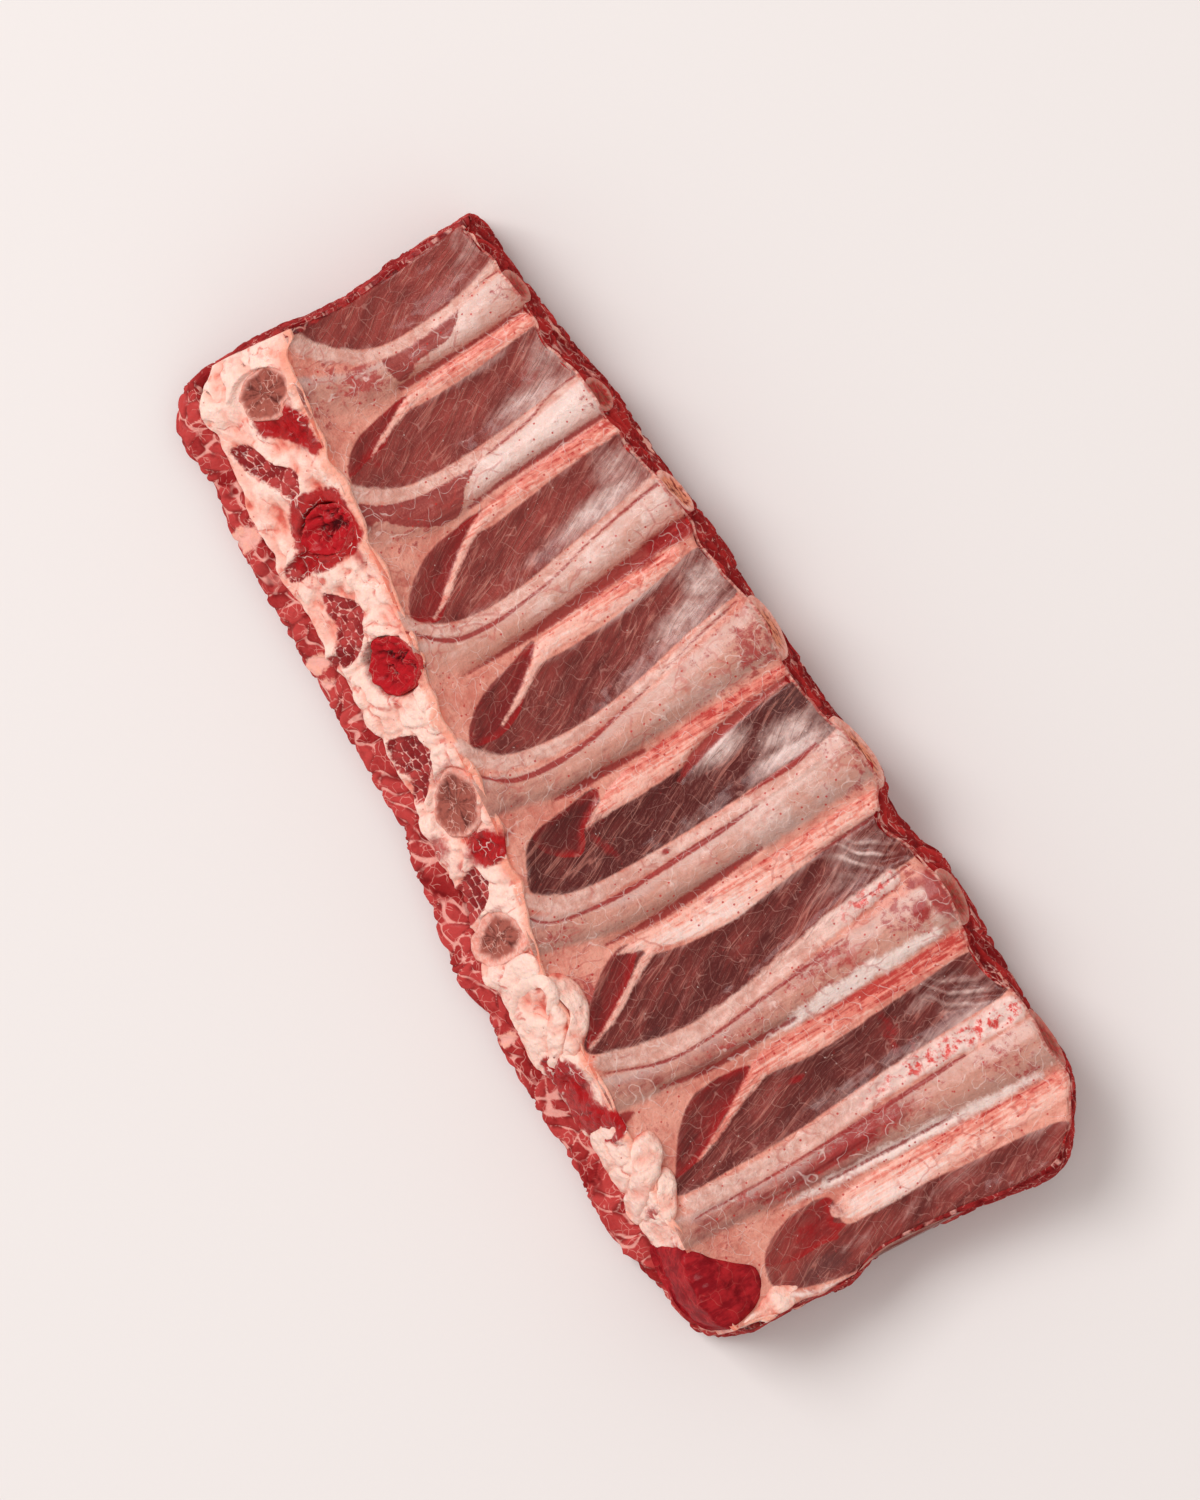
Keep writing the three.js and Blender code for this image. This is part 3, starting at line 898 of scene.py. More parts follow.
@dataclass(frozen=True)
class Cushion:
    """A soft mound that lies on the rack inside an outline in plan."""

    points: Points
    height: float
    lump: float = 0.6
    lump_size: float = 6.0
    sink: float = 3.0
    seed: int = 60

    REACH = 4.0  # the face's slope is taken over this far each way
    AROUND = 110
    RINGS = 30

    def add_to(self, shells: Shells) -> None:
        """Add the mound to a mesh.

        Args:
            shells: The mesh being gathered.
        """
        chain = catmull(self.points, 12, closed=True)
        ahead = np.roll(chain, -1, axis=0)
        if np.sum(chain[:, 0] * ahead[:, 1] - ahead[:, 0] * chain[:, 1]) < 0:
            chain = chain[::-1]
            ahead = np.roll(chain, -1, axis=0)
        walked = np.concatenate([[0], np.cumsum(np.hypot(*(ahead - chain).T))])
        stops = np.linspace(0, walked[-1], self.AROUND, endpoint=False)
        looped = np.vstack([chain, chain[:1]])
        rim = np.stack([np.interp(stops, walked, looped[:, k]) for k in (0, 1)], -1)
        centre = rim.mean(0)
        noise, shift = Lumps(self.seed), self.seed * 7.7
        rings, swells = [], []
        for i in range(self.RINGS):
            share = (i + 0.5) / self.RINGS
            spot = centre + (rim - centre) * share
            x, y = spot[:, 0], spot[:, 1]
            rough = noise.octaves(self.lump_size, 3, x + shift, y)
            dome = (1 - share**3.2) ** 0.55
            slope = (face_height(x, y + self.REACH) - face_height(x, y - self.REACH)) / (2 * self.REACH)
            steep = np.sqrt(1 + slope**2)
            out = self.height * dome + self.lump * rough * min(1.0, 2.5 * dome) - 0.4
            rings.append(np.stack([x, y - out * slope / steep, face_height(x, y) + out / steep], -1))
            # The swell falls off at the mound's edge and is 0 on the tucked-under ring: painted shade there
            # in the fat's colour.
            swells.append(0.5 + 0.5 * rough * np.ones_like(x) - 0.55 * share**6)
        low = rings[-1].copy()
        low[:, :2] = centre + (rim - centre) * 0.93
        low[:, 2] = face_height(low[:, 0], low[:, 1]) - self.sink
        rings.append(low)
        swells.append(np.zeros(self.AROUND))
        shells.add(np.array(rings), np.array(swells))


@dataclass(frozen=True)
class Roll:
    """A rounded roll of fat along a path in plan, lying on the rack."""

    points: Points
    half_widths: Numbers
    lifts: Numbers
    flat: float = 0.8
    seed: int = 80

    AROUND = 28

    def add_to(self, shells: Shells) -> None:
        """Add the roll to a mesh.

        Args:
            shells: The mesh being gathered.
        """
        path = catmull(self.points, 10, closed=False)
        share = np.linspace(0, 1, len(path))
        round_off = np.sqrt(np.clip(1 - np.abs(2 * share - 1) ** 6, 0.003, 1))
        half = np.interp(share, np.linspace(0, 1, len(self.half_widths)), self.half_widths) * round_off
        lift = np.interp(share, np.linspace(0, 1, len(self.lifts)), self.lifts)
        heading = np.gradient(path, axis=0)
        heading /= np.hypot(*heading.T)[:, None]
        side = np.stack([heading[:, 1], -heading[:, 0]], -1)
        turn = np.arange(self.AROUND) / self.AROUND * 2 * np.pi
        noise = Lumps(self.seed)
        middle = face_height(path[:, 0], path[:, 1]) + lift
        rings, swells = [], []
        for i in range(len(path)):
            out = half[i] * np.cos(turn)
            x, y = path[i, 0] + side[i, 0] * out, path[i, 1] + side[i, 1] * out
            z = middle[i] + half[i] * self.flat * np.sin(turn)
            rough = noise.octaves(4.5, 2, x, y, z)
            x = x + 0.45 * rough * np.cos(turn) * side[i, 0]
            y = y + 0.45 * rough * np.cos(turn) * side[i, 1]
            rings.append(np.stack([x, y, z + 0.45 * rough * np.sin(turn)], -1))
            # The upper half of the roll gets a higher swell: painted light on its top and painted shade
            # underneath.
            swells.append(0.45 + 0.4 * rough + 0.25 * np.sin(turn))
        shells.add(np.array(rings), np.array(swells))


# ---- shader expressions


@dataclass(frozen=True)
class Wire:
    """A number, vector or colour that varies over a surface: one output of a shader node."""

    palette: "Palette"
    socket: bpy.types.NodeSocket

    def maths(self, operation: str, *values: "Value", clamp: bool = False) -> "Wire":
        """Add a Math node."""
        settings = {"operation": operation, "use_clamp": clamp}
        return self.palette.out("Math", settings, dict(enumerate(values)))

    def __add__(self, other: "Value") -> "Wire":
        """Sum."""
        return self.maths("ADD", self, other)

    def __radd__(self, other: float) -> "Wire":
        """Sum with a plain number first."""
        return self.maths("ADD", other, self)

    def __sub__(self, other: "Value") -> "Wire":
        """Difference."""
        return self.maths("SUBTRACT", self, other)

    def __rsub__(self, other: float) -> "Wire":
        """Difference from a plain number."""
        return self.maths("SUBTRACT", other, self)

    def __mul__(self, other: "Value") -> "Wire":
        """Product."""
        return self.maths("MULTIPLY", self, other)

    def __rmul__(self, other: float) -> "Wire":
        """Product with a plain number first."""
        return self.maths("MULTIPLY", other, self)

    def __abs__(self) -> "Wire":
        """Size without sign."""
        return self.maths("ABSOLUTE", self)

    def held(self) -> "Wire":
        """The value held between 0 and 1."""
        return self.maths("ADD", self, 0.0, clamp=True)

    def rise(self, low: float, high: float) -> "Wire":
        """Smooth rise from 0 to 1, or a fall where low is above high.

        Args:
            low: Value where it starts.
            high: Value where it ends.

        Returns:
            The share risen.
        """
        if low > high:
            return 1.0 - self.rise(high, low)
        inputs = {"Value": self, "From Min": low, "From Max": high}
        return self.palette.out("MapRange", {"interpolation_type": "SMOOTHSTEP"}, inputs)


Value = Wire | float | Rgb


def srgb(red: float, green: float, blue: float) -> Rgb:
    """A screen colour from 0 to 255 as linear light."""
    shares = (c / 255 for c in (red, green, blue))
    return tuple(s / 12.92 if s <= 0.04045 else ((s + 0.055) / 1.055) ** 2.4 for s in shares)


@dataclass(frozen=True)
class Softness:
    """How far light spreads under a surface, in metres, and how strongly."""

    weight: float
    scale: float
    spread: Rgb = (1.0, 0.32, 0.2)


class Palette:
    """The nodes of one material, written as expressions."""

    COAT_ROUGHNESS = 0.16
    SHEEN = (1.0, 0.5, 0.42)  # the red cast of what wet meat mirrors

    def __init__(self, name: str) -> None:
        """Start an empty material.

        Args:
            name: The material's name.
        """
        self.material = bpy.data.materials.new(name)
        self.material.use_nodes = True
        self.tree = self.material.node_tree
        self.tree.nodes.clear()

    def node(
        self, kind: str, settings: dict[str, object], inputs: dict[str | int, Value]
    ) -> bpy.types.Node:
        """Add any node.

        Args:
            kind: The node's type, without the leading ShaderNode.
            settings: Its properties, set first.
            inputs: Values or links of its sockets, by name or number.

        Returns:
            The node.
        """
        node = self.tree.nodes.new("ShaderNode" + kind)
        for key, value in settings.items():
            setattr(node, key, value)
        for key, value in inputs.items():
            slot = node.inputs[key]
            if isinstance(value, Wire):
                self.tree.links.new(value.socket, slot)
            elif slot.type == "RGBA":
                slot.default_value = (*value, 1.0)
            else:
                slot.default_value = value
        return node

    def out(
        self, kind: str, settings: dict[str, object], inputs: dict[str | int, Value], output: str | int = 0
    ) -> Wire:
        """Add any node and take one of its outputs."""
        return Wire(self, self.node(kind, settings, inputs).outputs[output])

    def field(self, name: str) -> Wire:
        """A number stored at the vertices."""
        return self.out("Attribute", {"attribute_name": name}, {}, "Fac")

    def vector_field(self, name: str) -> Wire:
        """A vector stored at the vertices."""
        return self.out("Attribute", {"attribute_name": name}, {}, "Vector")

    def millimetres(self) -> Wire:
        """The place on the object, in millimetres."""
        spot = self.out("TexCoord", {}, {}, "Object")
        return self.out("VectorMath", {"operation": "SCALE"}, {0: spot, "Scale": 1 / MM})

    def stretched(self, spot: Wire, scale: Rgb) -> Wire:
        """Coordinates multiplied axis by axis."""
        return self.out("VectorMath", {"operation": "MULTIPLY"}, {0: spot, 1: scale})

    def warped(self, spot: Wire, size: float, reach: float) -> Wire:
        """Coordinates pushed about by noise.

        Args:
            spot: The coordinates.
            size: Width of the noise's blots.
            reach: How far they are pushed.

        Returns:
            The new coordinates.
        """
        inputs = {"Vector": spot, "Scale": 1 / size, "Detail": 1.0}
        push = self.out("TexNoise", {}, inputs, "Color")
        away = self.out("VectorMath", {"operation": "SUBTRACT"}, {0: push, 1: (0.5, 0.5, 0.5)})
        inputs = {0: away, 1: (reach * 2,) * 3, 2: spot}
        return self.out("VectorMath", {"operation": "MULTIPLY_ADD"}, inputs)

    def noise(self, spot: Wire, size: float, detail: float, rough: float = 0.5) -> Wire:
        """Cloudy noise around 0.5, its largest blots as wide as size."""
        inputs = {"Vector": spot, "Scale": 1 / size, "Detail": detail, "Roughness": rough}
        return self.out("TexNoise", {}, inputs)

    def net(self, spot: Wire, size: float, width: float) -> Wire:
        """Thin lines between uneven cells.

        Args:
            spot: The coordinates.
            size: Size of the cells.
            width: Half width of the lines, in the coordinates' unit.

        Returns:
            1 on the lines, 0 off them.
        """
        inputs = {"Vector": spot, "Scale": 1 / size}
        edge = self.out("TexVoronoi", {"feature": "DISTANCE_TO_EDGE"}, inputs)
        return edge.rise(width / size * 1.6, width / size * 0.4)

    def dots(self, spot: Wire, size: float, radius: float, share: float) -> Wire:
        """Scattered small dots.

        Args:
            spot: The coordinates.
            size: Spacing of the places where a dot may lie.
            radius: Radius of a dot.
            share: Share of the places that have one.

        Returns:
            1 on the dots, 0 off them.
        """
        cells = self.node("TexVoronoi", {}, {"Vector": spot, "Scale": 1 / size})
        near = Wire(self, cells.outputs["Distance"]).rise(radius / size, radius / size * 0.5)
        luck = self.out("SeparateColor", {}, {0: Wire(self, cells.outputs["Color"])})
        return near * luck.rise(1 - share - 0.03, 1 - share + 0.03)

    def mix(self, share: Value, under: Value, over: Value) -> Wire:
        """Lay one colour over another by a share from 0 to 1."""
        return self.out("Mix", {"data_type": "RGBA"}, {0: share, 6: under, 7: over}, 2)

    def layers(self, base: Value, *stack: tuple[Value, Value]) -> Wire:
        """Lay colours over a first one.

        Args:
            base: The lowest colour.
            stack: How much of each further colour shows, and that colour, going up.

        Returns:
            The combined colour.
        """
        for share, over in stack:
            base = self.mix(share, base, over)
        return base

    def finish(
        self, colour: Value, roughness: Value, relief: Value, coat: Value = 0.0,
        soft: Softness | None = None, mirror: float = 0.3,
    ) -> Material:
        """Close the material with its shader.

        Args:
            colour: Base colour.
            roughness: Roughness.
            relief: Fine relief in millimetres.
            coat: Weight of the wet coat.
            soft: How light spreads under the surface.
            mirror: How strongly the meat itself mirrors, 0.5 being water.

        Returns:
            The finished material.
        """
        bump = self.out("Bump", {}, {"Height": relief, "Strength": 1.0, "Distance": MM})
        inputs = {
            "Base Color": colour,
            "Roughness": roughness,
            "Coat Weight": coat,
            "Coat Roughness": self.COAT_ROUGHNESS,
            "Specular IOR Level": mirror,
            "Specular Tint": self.SHEEN,
            "Normal": bump,
        }
        if soft:
            inputs |= {
                "Subsurface Weight": soft.weight,
                "Subsurface Scale": soft.scale,
                "Subsurface Radius": soft.spread,
            }
        shader = self.out("BsdfPrincipled", {}, inputs)
        self.node("OutputMaterial", {}, {"Surface": shader})
        return self.material


# ---- finishes


@dataclass(frozen=True)
class MembraneFinish:
    """The bone side: membrane over bone, muscle, tendon and fat, told apart by stored depths."""

    membrane: Rgb = srgb(204, 120, 104)
    membrane_pale: Rgb = srgb(226, 156, 138)
    lip: Rgb = srgb(240, 132, 108)
    bone_red: Rgb = srgb(140, 56, 52)
    bone_beige: Rgb = srgb(198, 140, 124)
    bone_white: Rgb = srgb(232, 206, 198)
    bone_grey_shade: Rgb = srgb(168, 126, 114)
    bone_warm_shade: Rgb = srgb(220, 148, 130)
    blush: Rgb = srgb(156, 34, 38)
    muscle: Rgb = srgb(152, 62, 56)
    muscle_dark: Rgb = srgb(84, 26, 26)
    shade: Rgb = srgb(80, 48, 48)
    filament: Rgb = srgb(200, 128, 114)
    wedge: Rgb = srgb(136, 26, 28)
    wedge_dark: Rgb = srgb(90, 20, 22)
    hair: Rgb = srgb(220, 164, 152)
    wedge_edge: Rgb = srgb(158, 12, 18)
    bare: Rgb = srgb(134, 38, 38)
    band: Rgb = srgb(206, 148, 134)
    band_pale: Rgb = srgb(230, 188, 176)
    band_pink: Rgb = srgb(216, 74, 70)
    line: Rgb = srgb(146, 26, 28)
    groove: Rgb = srgb(150, 34, 34)
    tendon: Rgb = srgb(228, 132, 116)
    tendon_pale: Rgb = srgb(244, 184, 168)
    tendon_red: Rgb = srgb(190, 58, 52)
    white: Rgb = srgb(246, 222, 214)
    haze: Rgb = srgb(200, 164, 156)
    haze_white: Rgb = srgb(236, 210, 204)
    blood: Rgb = srgb(146, 10, 18)
    prick: Rgb = srgb(184, 38, 36)
    vein: Rgb = srgb(178, 66, 60)

    def bone(self, p: Palette, cloud: Wire, streak: Wire, mottle: Wire) -> Wire:
        """Colour of the membrane over bone, with painted light across each rib: its left flank painted
        paler and its right flank painted darker.

        Args:
            p: The material's nodes.
            cloud: Broad noise.
            streak: Noise drawn out along the ribs.
            mottle: Fine noise.

        Returns:
            The colour.
        """
        pale = p.field("pallor") + (cloud - 0.5) * 0.6 + (streak - 0.5) * 0.4 + (mottle - 0.5) * 0.4
        side = p.field("side") + (cloud - 0.5) * 1.3 + (streak - 0.5) * 0.6
        return p.layers(
            self.bone_red,
            (pale.rise(0.1, 0.46), self.bone_beige),
            (pale.rise(0.48, 0.95), self.bone_white),
            # Painted light: paler on the left flank, towards the lamp, and a painted warm or grey shade on
            # the right flank.
            (side.rise(-0.2, -0.9) * 0.4, self.bone_white),
            (side.rise(0.0, 1.0) * 0.6, p.mix(p.field("flank_shade_grey"), self.bone_warm_shade, self.bone_grey_shade)),
        )

    def tendons(self, p: Palette, depth: Wire, strands: Wire, mottle: Wire) -> Wire:
        """Colour of the tendon strips.

        Args:
            p: The material's nodes.
            depth: Millimetres inside a strip.
            strands: Fine noise drawn out along the ribs.
            mottle: Fine noise.

        Returns:
            The colour.
        """
        cream = p.field("cream") + (strands - 0.5) * 2.2 + (mottle - 0.5) * 1.5
        return p.layers(
            self.tendon_red,
            (cream.rise(-0.25, 0.3), self.tendon),
            (cream.rise(0.3, 0.85), self.tendon_pale),
            ((cream + depth * 0.1).rise(1.2, 1.9) * 0.8, self.white),
        )

    def meat(self, p: Palette, cloud: Wire, mottle: Wire, ragged: Wire) -> tuple[Wire, Wire]:
        """Colour and relief of the muscles under their membrane.

        Args:
            p: The material's nodes.
            cloud: Broad noise.
            mottle: Fine noise.
            ragged: Fine noise in millimetres, around 0.

        Returns:
            The colour and the relief in millimetres.
        """
        grain = p.warped(p.vector_field("grain"), 34.0, 5.0)
        fine = p.noise(p.stretched(grain, (1.0, 0.04, 1.0)), 1.5, 2.0, 0.6)
        broad = p.noise(p.stretched(grain, (1.0, 0.07, 1.0)), 5.0, 2.0, 0.5)
        strand = p.noise(p.stretched(grain, (1.0, 0.05, 0.7)), 3.4, 1.0)
        fleck = mottle - 0.5
        flesh = p.field("flesh")
        tone = flesh * 0.9 + (fine - 0.5) * 0.8 + (broad - 0.5) * 1.3 + (cloud - 0.5) * 1.1
        depth = p.field("wedge") + ragged * 0.2
        deep = p.mix((tone + fleck * 0.8).rise(-0.6, 0.7), self.wedge_dark, self.wedge)
        at_top = (p.field("wedge_top") + fleck * 0.6).rise(-0.3, 0.5)
        in_wedge = depth.rise(-0.3, 0.4) * at_top
        shade = (p.field("shade") + fleck * 0.6).rise(0.15, 0.95)
        long_run = (broad + (cloud - 0.5) * 1.2).rise(0.36, 0.6)
        threads = abs(strand - 0.5).rise(0.036, 0.0) * long_run * 0.48
        hairs = abs(fine - 0.5).rise(0.035, 0.0) * 0.22
        threads = (threads + hairs) * (1.0 - in_wedge * 0.7)
        edge = p.field("muscle").rise(3.4, 0.0) * (1.0 - in_wedge) * 0.35
        milky = p.field("haze") * 1.15 + edge + fleck * 0.6 + (broad - 0.5) * 1.0
        milky = milky + (fine - 0.5) * 0.9 - 0.12
        colour = p.layers(
            self.muscle_dark,
            (tone.rise(-0.35, 1.15), self.muscle),
            (in_wedge * 0.9, deep),
            (in_wedge * depth.rise(3.4, 0.4) * 0.85, self.wedge_edge),
            (shade * 0.6, self.shade),
            (threads, self.filament),
            (milky.rise(0.05, 1.1) * 0.85, self.haze),
            (milky.rise(0.7, 1.5) * 0.7, self.haze_white),
        )
        return colour, threads * 0.5 + (fine - 0.5) * 0.35

    def dress(self) -> Material:
        """Build the material.

        Returns:
            The material.
        """
        p = Palette("bone_side_membrane")
        spot = p.millimetres()
        cloud = p.noise(spot, 15.0, 2.0)
        mottle = p.noise(spot, 3.2, 3.0, 0.68)
        fleck = mottle - 0.5
        streak = p.noise(p.stretched(spot, (1.0, 0.07, 1.0)), 1.9, 3.0, 0.6)
        run = streak - 0.5
        strands = p.noise(p.stretched(spot, (1.0, 0.045, 1.0)), 1.1, 2.0, 0.55)
        ragged = (p.noise(spot, 1.8, 2.0, 0.7) - 0.5) * 4.0
        comb = (p.noise(p.stretched(spot, (0.3, 1.0, 1.0)), 1.3, 2.0, 0.6) - 0.5) * 4.0
        wobble = (p.noise(spot, 6.0, 1.0) - 0.5) * 3.0

        lip = (p.field("lip") + ragged * 0.12).rise(0.35, 1.0)
        on_bone = (p.field("bone") + wobble * 0.5 + ragged * 0.2).rise(-1.2, 1.6)
        bare = (p.field("bare") + ragged * 0.4 + comb * 0.2).rise(-0.3, 0.5)
        blush = (p.field("blush") + fleck * 2.4 + run * 0.9).rise(0.3, 0.85)
        meat, meat_relief = self.meat(p, cloud, mottle, ragged)
        muscle = (p.field("muscle") + wobble * 0.25 + ragged * 0.1 + comb * 0.12).rise(-0.4, 0.6)
        depth = p.field("tendon") + wobble * 0.4 + comb * 0.3
        white = (p.field("white") + ragged * 0.5 + wobble * 1.2 + comb * 0.5).rise(-0.8, 2.0)
        groove = (p.field("groove") + ragged * 0.3 + comb * 0.3 + wobble * 0.2).rise(-0.7, 0.5)
        pink = (p.field("pink") * 0.5 + fleck * 2.6).rise(0.3, 0.8)
        fat = p.layers(
            self.band,
            ((mottle * 0.8 + cloud * 0.5).rise(0.5, 0.85), self.band_pale),
            (p.field("pink") * 0.7, self.white),
            (pink * p.field("pink"), self.band_pink),
        )
        band = (p.field("band") + wobble * 0.7 + ragged * 0.25 + comb * 0.3).rise(-0.8, 0.7)
        line = (p.field("line") + comb * 0.15 + ragged * 0.15).rise(-0.35, 0.45)
        milk = (p.field("haze") * 1.3 + fleck * 0.9 + run * 0.7).rise(0.75, 1.6)
        stain = (p.field("stain") + fleck * 0.8 + ragged * 0.04).rise(0.25, 0.75)

        bent = p.warped(spot, 9.0, 3.6)
        patchy = p.noise(spot, 17.0, 1.0)
        broken = p.noise(bent, 7.0, 1.0)
        veins = p.net(p.stretched(bent, (1.0, 0.6, 1.0)), 7.0, 0.3) * patchy.rise(0.5, 0.62)
        wisp = abs(p.noise(p.warped(spot, 3.0, 0.8), 9.0, 0.6) - 0.5).rise(0.013, 0.0)
        web = wisp * broken.rise(0.4, 0.56)
        web = (web + p.net(bent, 7.5, 0.1) * broken.rise(0.56, 0.44) * 0.8).held()
        web = web * (1.0 - muscle * 0.3)
        pricks = p.dots(spot, 2.8, 0.56, 0.55) * (1.0 - muscle * 0.75)
        margin = (p.field("margin") + wobble * 0.6 + ragged * 0.2).rise(-0.3, 0.4)
        raw = p.layers(
            self.wedge_dark,
            ((mottle * 0.9 + cloud * 0.4).rise(0.5, 0.8), self.wedge_edge),
            (streak.rise(0.5, 0.75) * 0.6, self.tendon_red),
            (veins * 0.6, self.tendon_pale),
        )
        rim = (p.field("rim") + ragged * 0.12).rise(1.3, 0.5) * (1.0 - margin)
        colour = p.layers(
            self.membrane,
            ((mottle * 0.7 + cloud * 0.6).rise(0.48, 0.8), self.membrane_pale),
            (lip * 0.8, self.lip),
            (on_bone, self.bone(p, cloud, streak, mottle)),
            (bare * 0.94, p.mix(streak.rise(0.35, 0.7), self.bare, self.muscle)),
            (blush * 0.8, self.blush),
            (muscle, meat),
            ((depth + ragged * 0.25).rise(-0.7, 0.6) * 0.94, self.tendons(p, depth, strands, mottle)),
            (white * 0.92, self.white),
            (groove * 0.88, self.groove),
            (band, fat),
            (line * 0.9, self.line),
            # Dark red in the grooves beside the ribs: the meat there, darkened with painted shade.
            (milk * 0.6, self.haze_white),
            (stain * 0.9, self.blood),
            (veins * (1.0 - muscle) * 0.4, self.vein),
            (web * 0.42, p.mix(muscle, self.white, self.hair)),
            (pricks * 0.85, self.prick),
            # Small white dots: painted glints of wet highlight.
            (p.dots(bent, 4.2, 0.34, 0.6) * 0.5, self.white),
            (margin, raw),
            (rim * 0.7, p.mix(streak.rise(0.4, 0.62), self.tendon_red, self.tendon_pale)),
        )
        relief = meat_relief * muscle + fleck * 0.9 + web * 0.07 + run * 0.3
        rough = 0.33 + fleck * 0.3
        return p.finish(colour, rough, relief, 0.22, Softness(0.12, 0.0012))


@dataclass(frozen=True)
class LeanFinish:
    """Cut lean meat: bundles of fibre with a thin pale net between them."""

    deep: Rgb = srgb(140, 28, 30)
    bright: Rgb = srgb(190, 68, 66)
    tip_deep: Rgb = srgb(122, 12, 16)
    tip_bright: Rgb = srgb(190, 46, 44)
    crease_shade: Rgb = srgb(92, 10, 14)
    net: Rgb = srgb(242, 176, 164)
    fat: Rgb = srgb(244, 178, 158)

    def dress(self) -> Material:
        """Build the material.

        Returns:
            The material.
        """
        p = Palette("cut_lean")
        spot = p.millimetres()
        edge = p.field("edge")
        mottle = p.noise(spot, 3.0, 3.0, 0.68)
        fleck = mottle - 0.5
        cloud = p.noise(spot, 14.0, 2.0)
        thick = p.noise(spot, 5.0, 1.0)
        side = p.field("spine")
        # The spine side, which faces the lamp, is painted lighter.
        tone = p.field("tone") * 0.7 + fleck * 0.8 + (cloud - 0.5) * 0.9 + side * 0.3
        vivid = p.mix(tone.rise(-0.2, 0.9), self.tip_deep, self.tip_bright)
        crease = edge.rise(0.9, 0.1) * thick.rise(0.54, 0.4)
        net = (edge - (thick - 0.5) * 0.8).rise(0.34, 0.06) * cloud.rise(0.34, 0.52)
        hairs = p.net(p.warped(spot, 5.0, 2.4), 4.2, 0.12) * thick.rise(0.44, 0.56)
        lump = (p.field("fat") + fleck * 4.0).rise(-0.7, 0.7)
        pale = (mottle - (edge.rise(0.8, 0.2) * 0.2)).rise(0.35, 0.6)
        colour = p.layers(
            self.deep,
            (tone.rise(0.0, 1.1), self.bright),
            (p.field("tips"), vivid),
            # Painted shade in the creases between the bundles.
            (crease * 0.6, self.crease_shade),
            (net * 0.75, self.net),
            (hairs * 0.4, self.net),
            (lump * 0.9, p.mix(pale, self.net, self.fat)),
        )
        relief = fleck * 1.1
        rough = 0.34 + fleck * 0.3
        return p.finish(colour, rough, relief, 0.08, Softness(0.1, 0.001), 0.0)


@dataclass(frozen=True)
class FatFinish:
    """Cut fat: lumpy and cream, painted paler on its bulges and coral in its creases as painted light and
    shade, with islands of lean and blood.
    """

    name: str = "cut_fat"
    plain: bool = False
    cream: Rgb = srgb(244, 184, 168)
    pale: Rgb = srgb(250, 210, 196)
    rose_shade: Rgb = srgb(236, 146, 128)
    coral: Rgb = srgb(210, 84, 70)
    ridge: Rgb = srgb(238, 156, 132)
    lean: Rgb = srgb(134, 32, 34)
    lean_bright: Rgb = srgb(176, 62, 60)
    net: Rgb = srgb(246, 188, 176)
    blood: Rgb = srgb(168, 14, 22)
    clot: Rgb = srgb(124, 6, 14)
    membrane: Rgb = srgb(254, 228, 218)

    def dress(self) -> Material:
        """Build the material.

        Returns:
            The material.
        """
        p = Palette(self.name)
        spot = p.millimetres()
        mottle = p.noise(spot, 3.0, 3.0, 0.62)
        fleck = mottle - 0.5
        cloud = p.noise(spot, 8.0, 2.0, 0.6)
        drift = cloud - 0.5
        ragged = (p.noise(spot, 2.4, 2.0, 0.7) - 0.5) * 4.5
        swell = p.field("swell") + fleck * 0.6 + drift * 0.5
        # Painted light by how far the fat stands out: paler on its bulges as a painted highlight, rose and
        # coral in its hollows as painted shade.
        stack = [
            (swell.rise(0.1, 0.55), self.pale),
            (swell.rise(0.12, -0.12) * 0.8, self.rose_shade),
            (swell.rise(-0.08, -0.4) * 0.85, self.coral),
        ]
        relief = fleck * 1.3 + drift * 1.2
        if not self.plain:
            # Painted shade: coral in the creases between the fat's lobules.
            crease = (p.field("crease") + ragged * 0.15).rise(0.8, 0.1) * cloud.rise(0.46, 0.6)
            flush = (cloud * 0.8 + mottle * 0.4).rise(0.68, 0.84)
            lip = (p.field("lip") + fleck * 1.3 + drift * 0.8).rise(0.35, 1.0)
            tone = p.field("tone") + fleck * 0.6
            gaps = (p.field("edge") - drift * 0.4).rise(0.26, 0.06)
            lean = p.layers(
                self.lean, (tone.rise(0.2, 0.9), self.lean_bright), (gaps * 0.8, self.net)
            )
            island = (p.field("island") + ragged * 0.5).rise(-0.5, 0.5)
            stain = (p.field("stain") + fleck * 1.0 + drift * 0.6).rise(0.2, 0.9)
            pool = (p.field("pool") + 1.2 + ragged * 0.7 + drift * 5.0).rise(-0.9, 0.9)
            stack += [
                (crease * 0.7, self.coral),
                (flush * 0.5, self.coral),
                (lip * 0.8, self.ridge),
                (island, lean),
                (stain * 0.85, self.blood),
                (pool * 0.96, p.mix(mottle.rise(0.25, 0.55), self.clot, self.blood)),
            ]
        web = p.net(p.warped(p.warped(spot, 8.0, 4.0), 2.4, 0.7), 7.0, 0.13) * cloud.rise(0.5, 0.62)
        stack += [(web * 0.6, self.membrane), (p.dots(spot, 4.2, 0.45, 0.5) * 0.6, self.blood)]
        colour = p.layers(self.cream, *stack)
        rough = 0.36 + fleck * 0.25
        return p.finish(colour, rough, relief + web * 0.08, 0.16, Softness(0.18, 0.0016), 0.05)


